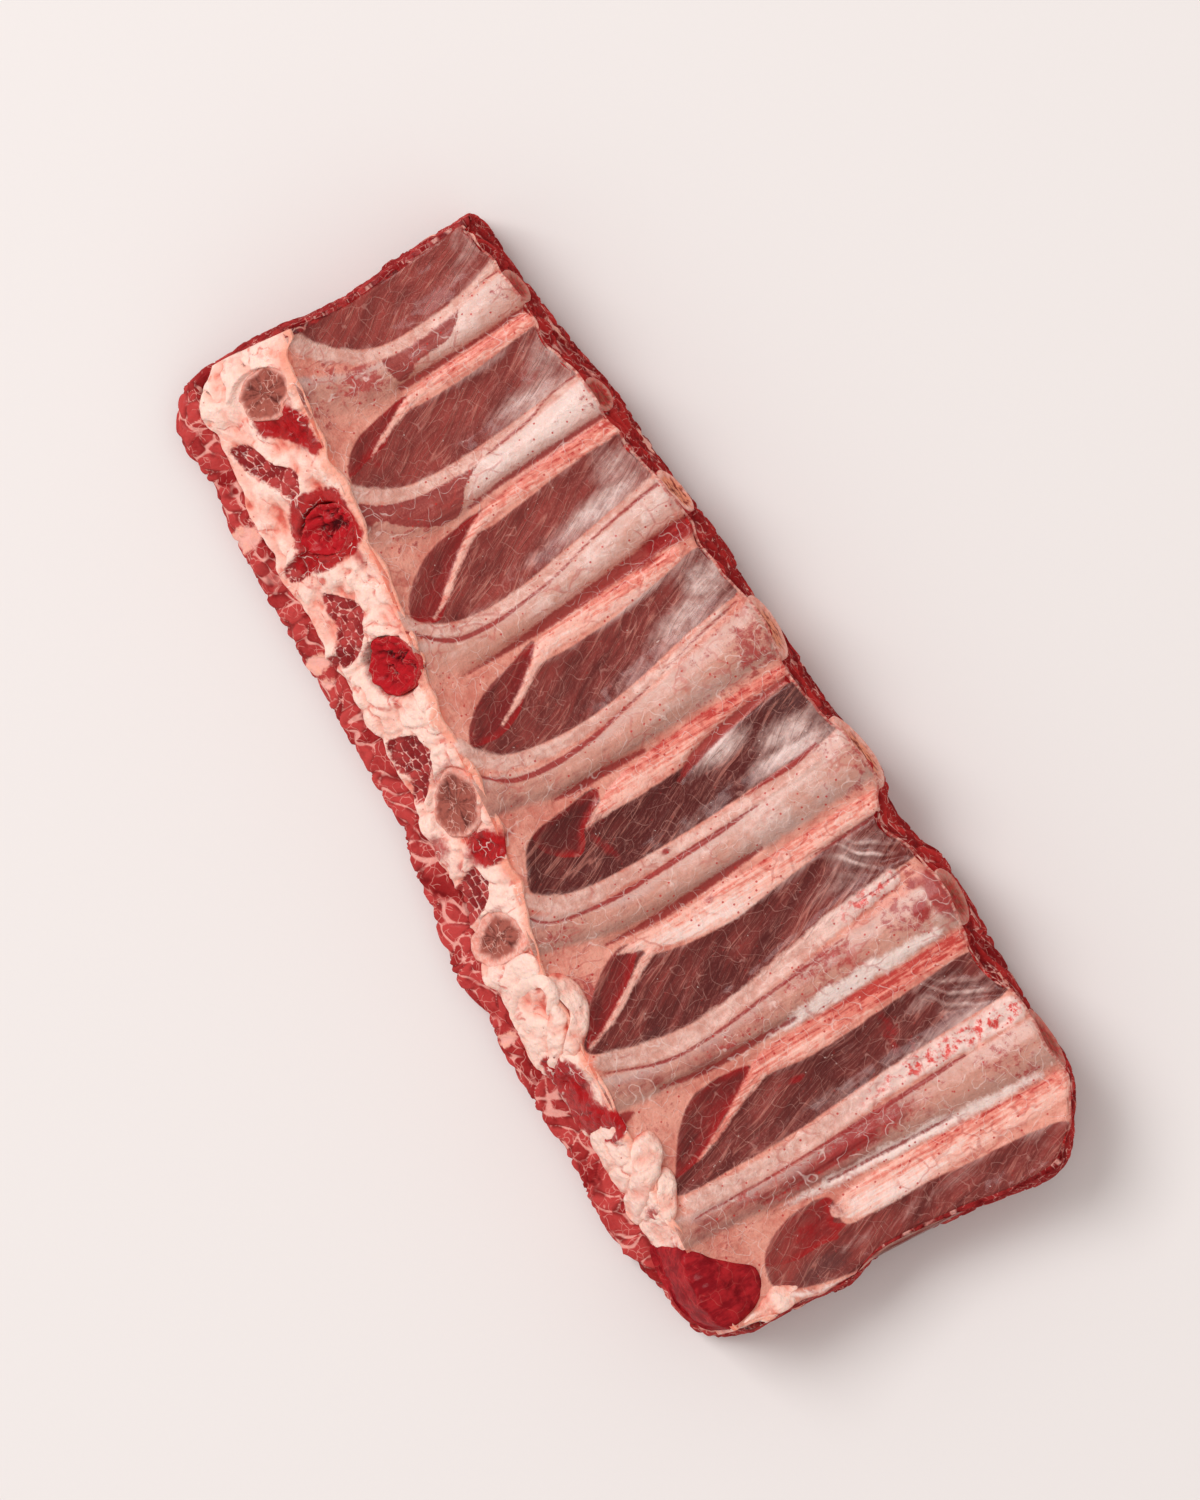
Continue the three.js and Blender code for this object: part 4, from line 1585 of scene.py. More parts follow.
@dataclass(frozen=True)
class BoneEndFinish:
    """A sawn bone end: a hard pale ring round brown or blood-dark marrow."""

    kind: EndKind
    ring: Rgb = srgb(230, 148, 132)
    ring_pale: Rgb = srgb(240, 184, 170)
    marrow: Rgb = srgb(166, 90, 78)
    marrow_dark: Rgb = srgb(92, 40, 36)
    clot: Rgb = srgb(180, 28, 36)
    clot_hollow_shade: Rgb = srgb(70, 4, 10)
    tip_dark: Rgb = srgb(136, 50, 40)
    vein: Rgb = srgb(236, 186, 172)
    tip: Rgb = srgb(240, 152, 120)

    def dress(self) -> Material:
        """Build the material.

        Returns:
            The material.
        """
        p = Palette("bone_end_" + self.kind.value)
        spot = p.millimetres()
        depth = p.field("depth")
        mottle = p.noise(spot, 1.9, 3.0, 0.65)
        fleck = mottle - 0.5
        spoke = p.noise(p.vector_field("spoke"), 1.0, 2.0, 0.6)
        ray = spoke - 0.5
        web = p.net(p.warped(spot, 4.0, 2.6), 3.2, 0.12) * p.noise(spot, 5.0, 1.0).rise(0.42, 0.58)
        if self.kind is EndKind.CLOT:
            # Painted shade: darkest in the clot's fold hollows and towards its sunken middle.
            folds = p.field("swell") * 0.9 + ray * 1.4 + fleck * 0.7
            folds = folds - depth * 0.09
            core = p.layers(
                self.clot_hollow_shade,
                (folds.rise(-1.1, 0.05), self.clot),
                (depth.rise(2.4, 0.8) * 0.8, self.clot),
                (web * 0.15, self.vein),
            )
        else:
            brown = (spoke * 0.8 + mottle * 0.4).rise(0.36, 0.72)
            core = p.layers(self.marrow_dark, (brown, self.marrow), (web * 0.55, self.vein))
        covered = p.field("covered")
        grain = p.noise(p.stretched(spot, (0.2, 1.0, 1.0)), 1.0, 2.0, 0.6)
        sawn = p.layers(
            self.tip_dark,
            ((grain + fleck * 0.5).rise(0.34, 0.56), self.tip),
            (covered, p.mix(mottle.rise(0.4, 0.6), self.clot, self.tip_dark)),
        )
        soft = 0.6 if self.kind is EndKind.CLOT else 1.6
        on_ring = (depth - p.field("ring") + ray * 3.4 + fleck).rise(soft, -0.6)
        ring = p.mix(mottle.rise(0.35, 0.65), self.ring, self.ring_pale)
        colour = p.layers(core, (p.field("tip") * 0.9, sawn), (on_ring * (1.0 - covered * 0.7), ring))
        relief = fleck * 0.9 + ray * 0.5
        rough = 0.36 + fleck * 0.25
        return p.finish(colour, rough, relief, 0.14, Softness(0.1, 0.001), 0.0)


@dataclass(frozen=True)
class TrimFinish:
    """The bare lump of lean on the corner: smooth, wet and deep red."""

    red: Rgb = srgb(128, 18, 26)
    bright: Rgb = srgb(170, 34, 40)
    film: Rgb = srgb(222, 120, 108)

    def dress(self) -> Material:
        """Build the material.

        Returns:
            The material.
        """
        p = Palette("bare_lean")
        spot = p.millimetres()
        grain = p.noise(p.stretched(spot, (1.0, 0.25, 1.0)), 1.8, 2.0, 0.6)
        mottle = p.noise(spot, 6.0, 3.0)
        colour = p.mix((grain * 0.4 + mottle * 0.6).rise(0.4, 0.62), self.red, self.bright)
        film = p.net(p.warped(spot, 6.0, 2.0), 8.0, 0.12) * mottle.rise(0.4, 0.6)
        colour = p.mix(film * 0.2, colour, self.film)
        relief = (grain - 0.5) * 0.5 + (mottle - 0.5) * 1.2
        return p.finish(colour, 0.3, relief, 0.12, Softness(0.12, 0.0012), 0.0)


@dataclass(frozen=True)
class FloorFinish:
    """The plain pale ground."""

    tone: Rgb = (0.812, 0.776, 0.766)

    def dress(self) -> Material:
        """Build the material.

        Returns:
            The material.
        """
        p = Palette("pale_ground")
        grain = p.noise(p.millimetres(), 2.0, 1.0) - 0.5
        colour = p.mix(grain * 0.1 + 0.05, self.tone, tuple(c * 0.95 for c in self.tone))
        return p.finish(colour, 0.9, grain * 0.02)


# ---- sub-assemblies


@dataclass
class BoneSide:
    """The bone side of the rack: everything seen between the fat's lip and the saw cut."""

    step: float = 0.8
    bone_proud: float = 4.6
    muscle_sink: float = 1.6
    band_rise: float = 1.0
    groove_sink: float = 1.5
    rim_roll: float = 1.4
    inset: float = 2.2
    lean: float = 2.6
    raw_margin: float = 5.6
    right_margin: float = 5.5
    under: float = 24.0
    widest: float = 146.0
    line_sink: float = 0.6
    tendon_rise: float = 0.9
    white_rise: float = 0.5
    pink_lumps: float = 1.5
    fold_height: float = 0.55
    unrest: float = 0.45
    ridge_lumps: float = 1.2
    fields: dict[str, Array] = field(default_factory=dict)

    def ribs_over(self, x: Array, y: Array) -> Array:
        """Lay the ribs over the plan, and keep their depth, side, pallor and how grey their painted flank
        shade is.

        Args:
            x: Along the rack.
            y: Across it.

        Returns:
            How high the bones lift the membrane, from 0 to 1.
        """
        lift = np.zeros(x.shape)
        inside = np.full(x.shape, -FAR)
        pallor = np.full(x.shape, 0.5)
        side = np.zeros(x.shape)
        flank_shade_grey = np.ones(x.shape)
        for rib in RIBS:
            station = np.clip(rib.station(y), 0.0, 1.0)
            across = rib.across(x, y)
            emerged = 0.2 + 0.8 * between(-0.02, 0.34, rib.station(y))
            lift = np.maximum(lift, emerged * between(1.6, 0.1, np.abs(across)))
            depth = (1 - np.abs(across)) * rib.half_width(station)
            here = depth > np.maximum(inside, -6)
            pallor = np.where(here, rib.pallor_at(station), pallor)
            side = np.where(here, np.clip(across, -1.5, 1.5), side)
            flank_shade_grey = np.where(here, rib.flank_shade_grey, flank_shade_grey)
            inside = np.maximum(inside, np.maximum(depth, -FAR))
        self.fields |= {"bone": inside, "pallor": pallor, "side": side, "flank_shade_grey": flank_shade_grey}
        return lift

    def wedge_middle(self, x: Array) -> Array:
        """Where the upper edge of each bare wedge begins, measured aslant."""
        middles = np.array([np.mean(patch.points, axis=0) for patch in WEDGES])
        number = np.abs(x[..., None] - middles[:, 0]).argmin(-1)
        return (middles[:, 0] * 0.85 + middles[:, 1] * 0.55)[number]

    def grain(self, x: Array, y: Array) -> Array:
        """Coordinates across and along the fibres of each muscle.

        Args:
            x: Along the rack.
            y: Across it.

        Returns:
            One vector for each place: across, along, and a number for its muscle.
        """
        number = np.searchsorted([rib.x[2] for rib in RIBS], x)
        slope = np.radians(np.array(FIBRE_SLOPES)[number])
        across = x * np.sin(slope) + y * np.cos(slope)
        along = y * np.sin(slope) - x * np.cos(slope)
        self.fields["flesh"] = np.array(FLESH_TONES)[number]
        return np.stack([across, along, number * 31.0], -1)

    def tendons(self, x: Array, y: Array) -> None:
        """Lay the tendon strips over the plan, and keep their depth and pallor.

        Args:
            x: Along the rack.
            y: Across it.
        """
        depth = np.full(x.shape, -FAR)
        cream = np.zeros(x.shape)
        for strip, pallor in zip(TENDONS, TENDON_PALLOR):
            here = strip.depth(x, y)
            line = np.array(strip.points)[::-1]
            across = np.clip((x - np.interp(y, line[:, 1], line[:, 0])) / 4.0, -1, 1)
            own = pallor + 0.5 * between(45.0, 0.0, y) + 0.35 * across
            cream = np.where(here > depth, own, cream)
            depth = np.maximum(depth, here)
        self.fields |= {"tendon": depth, "cream": cream}

    def survey(self, x: Array, y: Array) -> Array:
        """Work out every stored depth and the height of the surface.

        Args:
            x: Along the rack.
            y: Across it.

        Returns:
            The height above the table.
        """
        f = self.fields
        lift = self.ribs_over(x, y)
        shapes = {"muscle": MUSCLES, "wedge": WEDGES, "band": BANDS, "line": RED_LINES}
        shapes |= {"bare": BARE_MEAT, "groove": GROOVES, "white": WHITE_STRIPS}
        f |= {name: deepest(group, x, y) for name, group in shapes.items()}
        self.tendons(x, y)
        soft = {"haze": HAZE, "shade": SHADE, "stain": STAINS, "blush": BLUSH}
        f |= {name: blots(group, x, y) for name, group in soft.items()}
        f["pink"] = between(-2.0, 3.0, BANDS[-1].depth(x, y)) * between(-10.0, 40.0, y)
        f["pink"] = np.maximum(f["pink"], between(-3, 3, BANDS[-2].depth(x, y)) * between(28, 56, y))
        f["lip"] = between(4.0, 0.0, y - crest_y(x))
        f["wedge_top"] = between(-4.0, 6.0, x * 0.85 + y * 0.55 - self.wedge_middle(x))
        left = left_reach(y) * -1 + self.raw_margin + between(0, -12, y) * 1.5 - x
        right = x - right_reach(y) + self.right_margin * between(2, -26, y)
        f["margin"] = np.maximum(left, right)
        f["grain"] = self.grain(x, y)
        lumps = Lumps(3)
        height = dish_height(x, y)
        height += self.bone_proud * lift
        height -= self.muscle_sink * between(0.0, 6.0, f["muscle"]) * between(0.5, 8.0, rim_y(x) - y)
        height += self.band_rise * between(-1.4, 1.4, f["band"])
        height += self.pink_lumps * f["pink"] * lumps.octaves(3.6, 2, x, y)
        height -= self.groove_sink * between(-2.0, 0.8, f["groove"])
        height -= self.line_sink * between(-0.9, 0.4, f["line"])
        height += self.tendon_rise * between(-1.5, 2.5, f["tendon"])
        ragged = 0.8 * lumps.octaves(3.0, 2, x, y)
        height += self.white_rise * between(-0.5, 0.6, f["white"] + ragged)
        turn = math.radians(FOLD_TURN)
        phase = (x * math.cos(turn) - y * math.sin(turn)) / FOLD_PITCH + 0.9 * lumps(x / 9, y / 9)
        wave = np.sin(2 * np.pi * phase) * blots(FOLDS, x, y)
        height += self.fold_height * wave
        # Painted light on the folds: extra milky haze on their crests as a painted highlight, and painted
        # shade in their troughs.
        f["haze"] = f["haze"] + 0.35 * np.maximum(wave, 0)
        f["shade"] = f["shade"] + 0.6 * np.maximum(-wave, 0)
        height += self.unrest * lumps.octaves(9.0, 3, x, y + 50)
        near_ridge = between(14.0, 2.0, y - crest_y(x))
        height += self.ridge_lumps * near_ridge * lumps.octaves(12.0, 2, x + 300, y)
        return height

    def build(self) -> Piece:
        """Build and dress the bone side.

        Returns:
            The piece.
        """
        rows = int(2 * HALF_LENGTH / self.step) + 1
        columns = int(self.widest / self.step) + 1
        straight = np.linspace(-HALF_LENGTH, HALF_LENGTH, rows)[:, None] * np.ones((1, columns))
        v = np.linspace(0, 1, columns)[None, :]
        start, end = crest_y(straight), rim_y(straight)
        end = end + 0.7 * Lumps(17).octaves(7.0, 2, straight, 0 * straight)
        y = start + (end - start) * v
        x = shape_ends(straight, y, dish_height(straight, y), self.inset, self.lean)
        z = self.survey(x.ravel(), y.ravel()).reshape(x.shape)
        to_rim = np.minimum(end - y, HALF_LENGTH - np.abs(straight))
        z -= self.rim_roll * between(2.4, 0.0, to_rim)
        self.fields["rim"] = to_rim.ravel()
        skin = np.stack([x, y, z], -1)
        first, last = skin[:, 0].copy(), skin[:, -1].copy()
        first[:, 2] = self.under
        first[:, 1] += 4.0
        last[:, 2] = self.under
        last[:, 1] -= 1.0
        piece = closed_slab("bone_side", skin, first, last)
        write_fields(piece, self.fields)
        piece.data.materials.append(MembraneFinish().dress())
        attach(piece, "root")
        return piece


@dataclass
class LeanBody:
    """The lean under and around the bone side, seen on all four sides."""

    along_step: float = 0.75
    wall_steps: int = 58
    widest: float = 9.0
    foot_tuck: float = 5.0
    bundle_length: float = 8.0
    bundle_height: float = 4.4
    bulge: float = 1.3
    slant: float = 2.0
    end_lean: float = 3.2
    sag_depth: float = 0.8
    ripple_depth: float = 0.5
    cap_height: float = 24.0
    ledge: float = 5.0
    ledge_drop: float = 5.5
    fat_specks: Points = ((-144, 4.5), (-91.5, 3.5), (-84, 2.0), (60, 2.5))

    def rim(self, px: Array, py: Array, nx: Array, ny: Array) -> tuple[Array, Array]:
        """Find how far the wall leans in and how high it reaches.

        Args:
            px: Outline places along the rack.
            py: Outline places across it.
            nx: Outward direction along the rack.
            ny: Outward direction across it.

        Returns:
            The lean in millimetres, and the height of the wall's upper edge.
        """
        to_tips = between(0.25, 0.8, ny)
        to_spine = between(0.25, 0.8, -ny)
        to_end = 1 - to_tips - to_spine
        lean = to_tips * np.clip(py - rim_y(px) + 0.8, 3.0, 12.0)
        lean += to_spine * np.clip(fat_foot_y(px) - py + 1.5, 3.0, 13.0) + to_end * self.end_lean
        x, y = px - nx * lean, py - ny * lean
        top = dish_height(x, y) - 0.6
        rise = (CREST_HEIGHT - FAT_FOOT_HEIGHT) / (crest_y(x) - fat_foot_y(x) + 6.0)
        under_fat = FAT_FOOT_HEIGHT - 0.8 + rise * np.maximum(y - fat_foot_y(x) - 4.0, 0)
        under_fat += 2.5 * np.maximum(y - crest_y(x), 0)
        return lean, np.minimum(top, under_fat)

    @classmethod
    def tip_wall(cls, x: Array, z: Array) -> Array:
        """How far out the wall stands at the tips.

        Args:
            x: Along the rack.
            z: Heights.

        Returns:
            The wall's place across the rack.
        """
        edge = Smooth(*zip(*OUTLINE[:TIP_POINTS]))(x)
        lean = np.clip(edge - rim_y(x) + 0.8, 3.0, 12.0)
        above = np.clip((z - cls.widest) / (dish_height(x, rim_y(x)) - 0.6 - cls.widest), 0, 1)
        return edge - lean * above**cls.slant - 1.0

    def build(self) -> Piece:
        """Build and dress the lean body.

        Returns:
            The piece.
        """
        chain = catmull(OUTLINE, 12, closed=True)[::-1]
        looped = np.vstack([chain, chain[:1]])
        walked = np.concatenate([[0], np.cumsum(np.hypot(*np.diff(looped, axis=0).T))])
        columns = int(walked[-1] / self.along_step)
        u = np.linspace(0, walked[-1], columns, endpoint=False)
        px, py = np.interp(u, walked, looped[:, 0]), np.interp(u, walked, looped[:, 1])
        tx, ty = np.roll(px, -4) - np.roll(px, 4), np.roll(py, -4) - np.roll(py, 4)
        size = np.hypot(tx, ty)
        nx, ny = ty / size, -tx / size
        lean, top = (a[:, None] for a in self.rim(px, py, nx, ny))

        v = np.linspace(0, 1, self.wall_steps)[None, :]
        z = top * v
        below = np.clip(1 - z / self.widest, 0, 1)
        above = np.clip((z - self.widest) / (top - self.widest), 0, 1)
        offset = -self.foot_tuck * below**2.2 - lean * above**self.slant
        wrap = int(round(walked[-1] / self.bundle_length))
        ring = 2 * np.pi * u[:, None] / walked[-1] * np.ones_like(v)
        reach = walked[-1] / (2 * np.pi)
        cx, cy = np.cos(ring) * reach, np.sin(ring) * reach
        sag = Lumps(11).octaves(26.0, 2, cx, cy, z)
        ripple = Lumps(12).octaves(9.0, 2, cx, cy, z)
        walk = np.arange(columns) / columns * wrap
        depth_walk = np.hypot(z, 0.8 * lean * above**self.slant)
        level = depth_walk / self.bundle_height + 20 + 1.8 * sag + 0.8 * ripple
        _, edge, tone = Cells(7, wrap)(walk[:, None] + 0.9 * ripple, level)
        held = between(0.0, 2.5, z) * between(0.0, 1.5, top - z)
        offset = offset + held * self.bulge * (between(0.0, 0.3, edge) - 0.8)
        offset = offset + held * (self.sag_depth * sag + self.ripple_depth * ripple) - 0.4
        x = px[:, None] + nx[:, None] * offset
        y = py[:, None] + ny[:, None] * offset
        skin = np.stack([x, y, z * np.ones_like(x)], -1)

        ledge, inner = skin[:, -1].copy(), skin[:, -1].copy()
        ledge -= np.stack([nx * self.ledge, ny * self.ledge, 0 * nx + self.ledge_drop], -1)
        inner -= np.stack([nx * (self.ledge + 1), ny * (self.ledge + 1), 0 * nx], -1)
        inner[:, 2] = np.minimum(ledge[:, 2] - 2.0, self.cap_height)
        skin = np.concatenate([skin, ledge[:, None]], 1)
        rows = self.wall_steps + 1
        places = np.vstack([skin.reshape(-1, 3), inner])
        faces = grid_faces(columns, rows, wrap=True)
        i = np.arange(columns)
        ahead = (i + 1) % columns
        cap = columns * rows
        faces += zip(i * rows + rows - 1, ahead * rows + rows - 1, cap + ahead, cap + i)
        faces.append(tuple(cap + i))
        faces.append(tuple(i[::-1] * rows))
        piece = build_mesh("lean_body", places, faces)
        blob = Lumps(5).octaves(16.0, 2, cx, cy, z * 1.6)
        spine = between(0.0, 0.8, -ny)[:, None] * np.ones_like(z)
        lump = 7.0 * (blob - 0.86 - 0.7 * spine)
        for place, width in self.fat_specks:
            lump = np.maximum(lump, np.where(spine > 0.5, width - np.hypot(x - place, z - 12.0), lump))
        tips = between(0.0, 0.8, ny)[:, None] * np.ones_like(z)
        fields = {"edge": edge * self.bundle_height, "tone": tone, "fat": lump}
        fields |= {"spine": spine, "tips": tips}
        write_fields(piece, {name: np.hstack([a, a[:, -1:]]) for name, a in fields.items()})
        piece.data.materials.append(LeanFinish().dress())
        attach(piece, "root")
        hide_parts("lean_meat")
        return piece


@dataclass
class ChineFat:
    """The fat layer along the spine side, with its cut face and rolled lip."""

    step: float = 0.75
    face_steps: int = 76
    thickness: float = 7.0
    lip: float = 1.5
    inset: float = 1.2
    lean: float = 3.4
    bundle: float = 3.4
    lobule: float = 11.0
    crest_lift: float = 0.9
    crest_wander: float = 1.5
    foot_wander: float = 1.6
    belly: float = 0.8
    broad_lumps: float = 1.1
    small_lumps: float = 0.7
    lobe_height: float = 2.0
    plump_height: float = 1.5
    lip_reach: float = 1.6
    dips: dict[EndKind, float] = field(
        default_factory=lambda: {EndKind.MARROW: 0.9, EndKind.STREAKED: 0.9, EndKind.CLOT: 6.0}
    )
    pools: tuple[Patch, ...] = (
        Patch(((73.6, -75.5), (76.2, -70), (84, -67), (90.6, -68), (97, -66.8), (103, -62), (106, -57),
            (108, -63), (110, -67), (106, -73), (98.7, -76.5), (90.6, -75.5), (82.6, -75.8))),
        Patch(((-141, -32), (-126, -31.5), (-120, -36), (-119, -45), (-121.5, -54), (-125.5, -58),
            (-129, -53), (-138.6, -51.5), (-144, -48), (-144, -40))),
        Patch(((-172, -30), (-166, -28), (-158, -27.5), (-156, -31), (-162, -33), (-167, -37), (-171, -42),
            (-177, -43), (-178, -37))),
        Patch(((-5, -47), (1, -42), (1.5, -49), (2, -55), (-4, -57), (-9, -55), (-8, -50))),
    )
    islands: tuple[Patch, ...] = (
        Patch(((-173.5, -57), (-173, -51.5), (-167, -46.6), (-161, -44.4), (-156.7, -41), (-152, -40),
            (-147, -42.2), (-146.4, -45), (-151, -48), (-157, -51), (-162.5, -54), (-168, -56.5))),
        Patch(((-112, -55), (-107, -49), (-101, -45.6), (-94, -47.8), (-88, -52), (-85, -59), (-87, -63.5),
            (-93, -61), (-98, -57.5), (-105, -57))),
        Patch(((-54.4, -62), (-52.2, -54.4), (-49, -51.5), (-44, -50.7), (-39, -53), (-34.6, -57.3),
            (-29, -62.5), (-31.7, -66), (-39, -62.5), (-45, -65.4), (-50, -64))),
        Patch(((0, -59), (3.8, -57.2), (9.7, -57.6), (14, -61.3), (17, -68), (17.7, -73), (15.5, -77.4),
            (11, -75.2), (5.3, -71.5), (1.6, -65))),
        Patch(((-128, -50), (-122, -50), (-120, -58), (-122, -63), (-127, -62))),
        Patch(((-91, -62.5), (-87.5, -62.5), (-86.5, -66.5), (-89.5, -67.5), (-91.5, -65.5))),
    )
    stains: tuple[Daub, ...] = gather(
        Daub,
        (-168, -32, 11, 4, 1, -4), (-172, -38, 5, 6, 0.7), (-131, -40, 10.5, 10.5),
        (-76, -46, 12.5, 10.5, 0.8), (-3, -49, 6, 8), (-3, -57, 5, 5, 0.9), (-12, -68, 6, 5, 0.8),
        (-2, -66, 4, 5, 0.4), (-162, -50, 8, 5, 0.3), (-179, -52, 3, 3, 0.35), (80, -71, 6, 4, 0.9),
        (89, -68.5, 8, 4.5), (99, -68.5, 6, 4.5, 0.9), (104, -62, 4.5, 5), (141, -70, 5, 3.5, 0.8),
        (168, -70, 16, 5, 0.9), (-36, -47, 2, 6, 0.5), (17.5, -60, 1.5, 6, 0.5), (-200, -38, 3, 9, 0.3),
        (-116, -37, 8, 2.5, 0.6),
    )
    lobes: tuple[Daub, ...] = gather(
        Daub,
        (-141, -64, 7, 5), (-132, -66, 5, 4, 0.8), (-195, -58, 6, 4, 0.6), (-180, -60, 8, 4, 0.7),
        (-117, -47, 6, 5, 0.9), (-108, -42, 6, 4, 0.6), (-83, -66, 4.5, 5, 1.1), (-73, -63, 5, 5, 1.1),
        (-66, -55, 3, 8, 0.8, -25), (-56, -45, 7, 4, 0.7), (-42, -45, 7, 3.5, 0.6), (-22, -69, 3.5, 3, 0.7),
        (8, -52, 8, 4, 0.8), (20, -56, 5, 3, 0.6), (42, -70, 8, 8, 0.6), (40, -78, 7, 4, 0.5),
        (60, -74, 8, 5, 0.6), (118, -70, 8, 5, 0.7), (-152, -33, 7, 3, 0.7), (-97, -66, 5, 3, 0.6),
        (-160, -62, 8, 3, 0.5),
    )

    def recess(self, x: Array, y: Array) -> tuple[Array, Array]:
        """Find where the face is sunk behind the bared bone ends.

        Args:
            x: Along the rack.
            y: Across it.

        Returns:
            A share from 0 to 1 for each place, and its depth in millimetres.
        """
        sunk, dip = np.zeros(x.shape), np.zeros(x.shape)
        for rib in RIBS:
            end = rib.end
            if end.kind is not EndKind.COVERED:
                here = between(1.1, 0.86, np.hypot(*offsets(end, x, y)))
                dip = np.where(here > 0, self.dips[end.kind] * here, dip)
                sunk = np.maximum(sunk, between(0.0, 0.3, here))
        return sunk, dip

    def build(self) -> Piece:
        """Build and dress the fat.

        Returns:
            The piece.
        """
        rows = int(2 * HALF_LENGTH / self.step) + 1
        x = np.linspace(-HALF_LENGTH, HALF_LENGTH, rows)[:, None] * np.ones((1, self.face_steps))
        t = np.linspace(0, 1, self.face_steps)[None, :] * np.ones_like(x)
        lumps = Lumps(21)
        crest = crest_y(x) + self.crest_lift + self.crest_wander * lumps.octaves(11.0, 2, x + 40, 0 * x)
        foot = fat_foot_y(x) + self.foot_wander * lumps.octaves(9.0, 2, x, 0 * x)
        rise = CREST_HEIGHT + RIDGE_HEIGHT - FAT_FOOT_HEIGHT
        y = foot + (crest - foot) * t
        z = FAT_FOOT_HEIGHT + rise * t
        x = shape_ends(x, y, z, self.inset, self.lean)
        broad = lumps.octaves(13.0, 2, x, y * 1.4)
        small = lumps.octaves(5.0, 2, x + 90, y * 1.4)
        lobe = blots(self.lobes, x, y)
        u, v = x / self.lobule + 64 + 0.35 * broad, y * 1.25 / self.lobule + 32 + 0.35 * small
        _, gap, _ = Cells(29, 512)(u, v)
        plump = between(0.0, 0.2, gap) * between(-0.8, 0.1, lumps.octaves(22.0, 2, x + 500, y))
        island = deepest(list(self.islands), x.ravel(), y.ravel()).reshape(x.shape)
        _, edge, tone = Cells(13, 512)(x / self.bundle + 256, y * 1.3 / self.bundle + 32)
        inside = between(-0.5, 1.0, island)
        near_lip = between(0.86, 1.0, t)
        out = self.belly * np.sin(np.pi * t) + self.broad_lumps * broad + self.small_lumps * small
        out += self.lobe_height * lobe + self.plump_height * plump
        out = out * between(-0.02, 0.1, t) * between(1.02, 0.9, t)
        out = out * (1 - inside) + inside * (0.9 * between(0.0, 0.35, edge) - 1.0 + 0.6 * broad)
        sunk, dip = self.recess(x, y)
        out = (out + self.lip * near_lip) * (1 - sunk) - dip
        slope = math.atan2(rise, 28.0)
        roll_under = between(0.05, 0.0, t)
        y = y - out * math.sin(slope) + 1.8 * roll_under
        z = z + out * math.cos(slope) - 0.8 * roll_under
        roll = between(0.94, 1.0, t)
        y = y + self.lip_reach * roll
        z = z - 0.5 * roll * roll
        skin = np.stack([x, y, z], -1)
        first, last = skin[:, 0].copy(), skin[:, -1].copy()
        first[:, 1] += self.thickness
        first[:, 2] -= 1.5
        last[:, 1] += 1.5
        last[:, 2] -= self.thickness
        piece = closed_slab("chine_fat_layer", skin, first, last)
        # Bulges get a higher swell, which the fat's colour turns into painted light and shade.
        swell = 0.22 + 0.4 * broad + 0.35 * small + 0.3 * lobe + 0.3 * plump
        fields = {"island": island, "stain": blots(self.stains, x, y), "lip": near_lip, "swell": swell}
        fields["pool"] = deepest(list(self.pools), x.ravel(), y.ravel())
        fields["crease"] = gap * self.lobule
        write_fields(piece, fields | {"edge": edge * self.bundle, "tone": tone})
        piece.data.materials.append(FatFinish().dress())
        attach(piece, "root")
        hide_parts("chine_fat")
        return piece


@dataclass
class LooseFat:
    """Curls, flaps and lobes of fat that lie on the cut face."""

    parts: tuple[Cushion | Roll, ...] = (
        Cushion(((47, -56), (50, -52), (57, -49.5), (64, -50.5), (70, -54), (76, -60), (80, -66),
            (77, -67.5), (70, -62), (62, -57.5), (54, -57), (49, -58.5)), 3.4, 0.8, seed=64),
        Cushion(((57, -60), (62, -58), (69, -62), (76, -68), (79, -72), (75, -74), (68, -69), (60, -65)), 3,
            0.8, 4, seed=65),
        Cushion(((58, -67), (64, -64.5), (70, -68), (76, -74), (74, -79), (64, -78.5), (57, -76),
            (55, -71)), 2.8, 0.9, seed=63),
        Cushion(((36, -60), (41, -57), (46, -60), (48, -66), (46, -72), (40, -74), (36, -68)), 1.8, 0.8,
            seed=66),
        Roll(((62, -77), (53, -75), (47, -69), (46.4, -63), (50, -59.2), (56, -60.5), (59.5, -65)),
            (1.6, 2.2, 2.6, 2.8, 2.6, 2.2, 1.4), (0.6, 0.9, 1.4, 1.8, 2, 1.6, 0.8), 0.7),
        Cushion(((103, -66), (108, -63), (115, -64), (121, -68), (126, -74), (124, -77), (114, -76.5),
            (105, -75)), 2.4, 0.8, seed=61),
        Cushion(((127, -58), (131, -56), (137, -58), (143, -61.5), (147, -67), (145, -72.5), (140, -71),
            (136, -66), (130, -62)), 2.4, 0.8, 4, seed=62),
        Cushion(((112.5, -57.5), (115, -54.3), (121, -54.5), (127, -58.5), (132.5, -64), (138, -70),
            (142.5, -76), (138, -79), (132, -76), (126, -70), (119, -64.5), (113.5, -62)), 4.4, 0.9, 5,
            seed=83),
    )

    def build(self) -> Piece:
        """Build and dress the loose fat.

        Returns:
            The piece.
        """
        shells = Shells()
        for part in self.parts:
            part.add_to(shells)
        piece = shells.build("loose_fat")
        piece.data.materials.append(FatFinish("loose_fat", plain=True).dress())
        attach(piece, "root")
        return piece


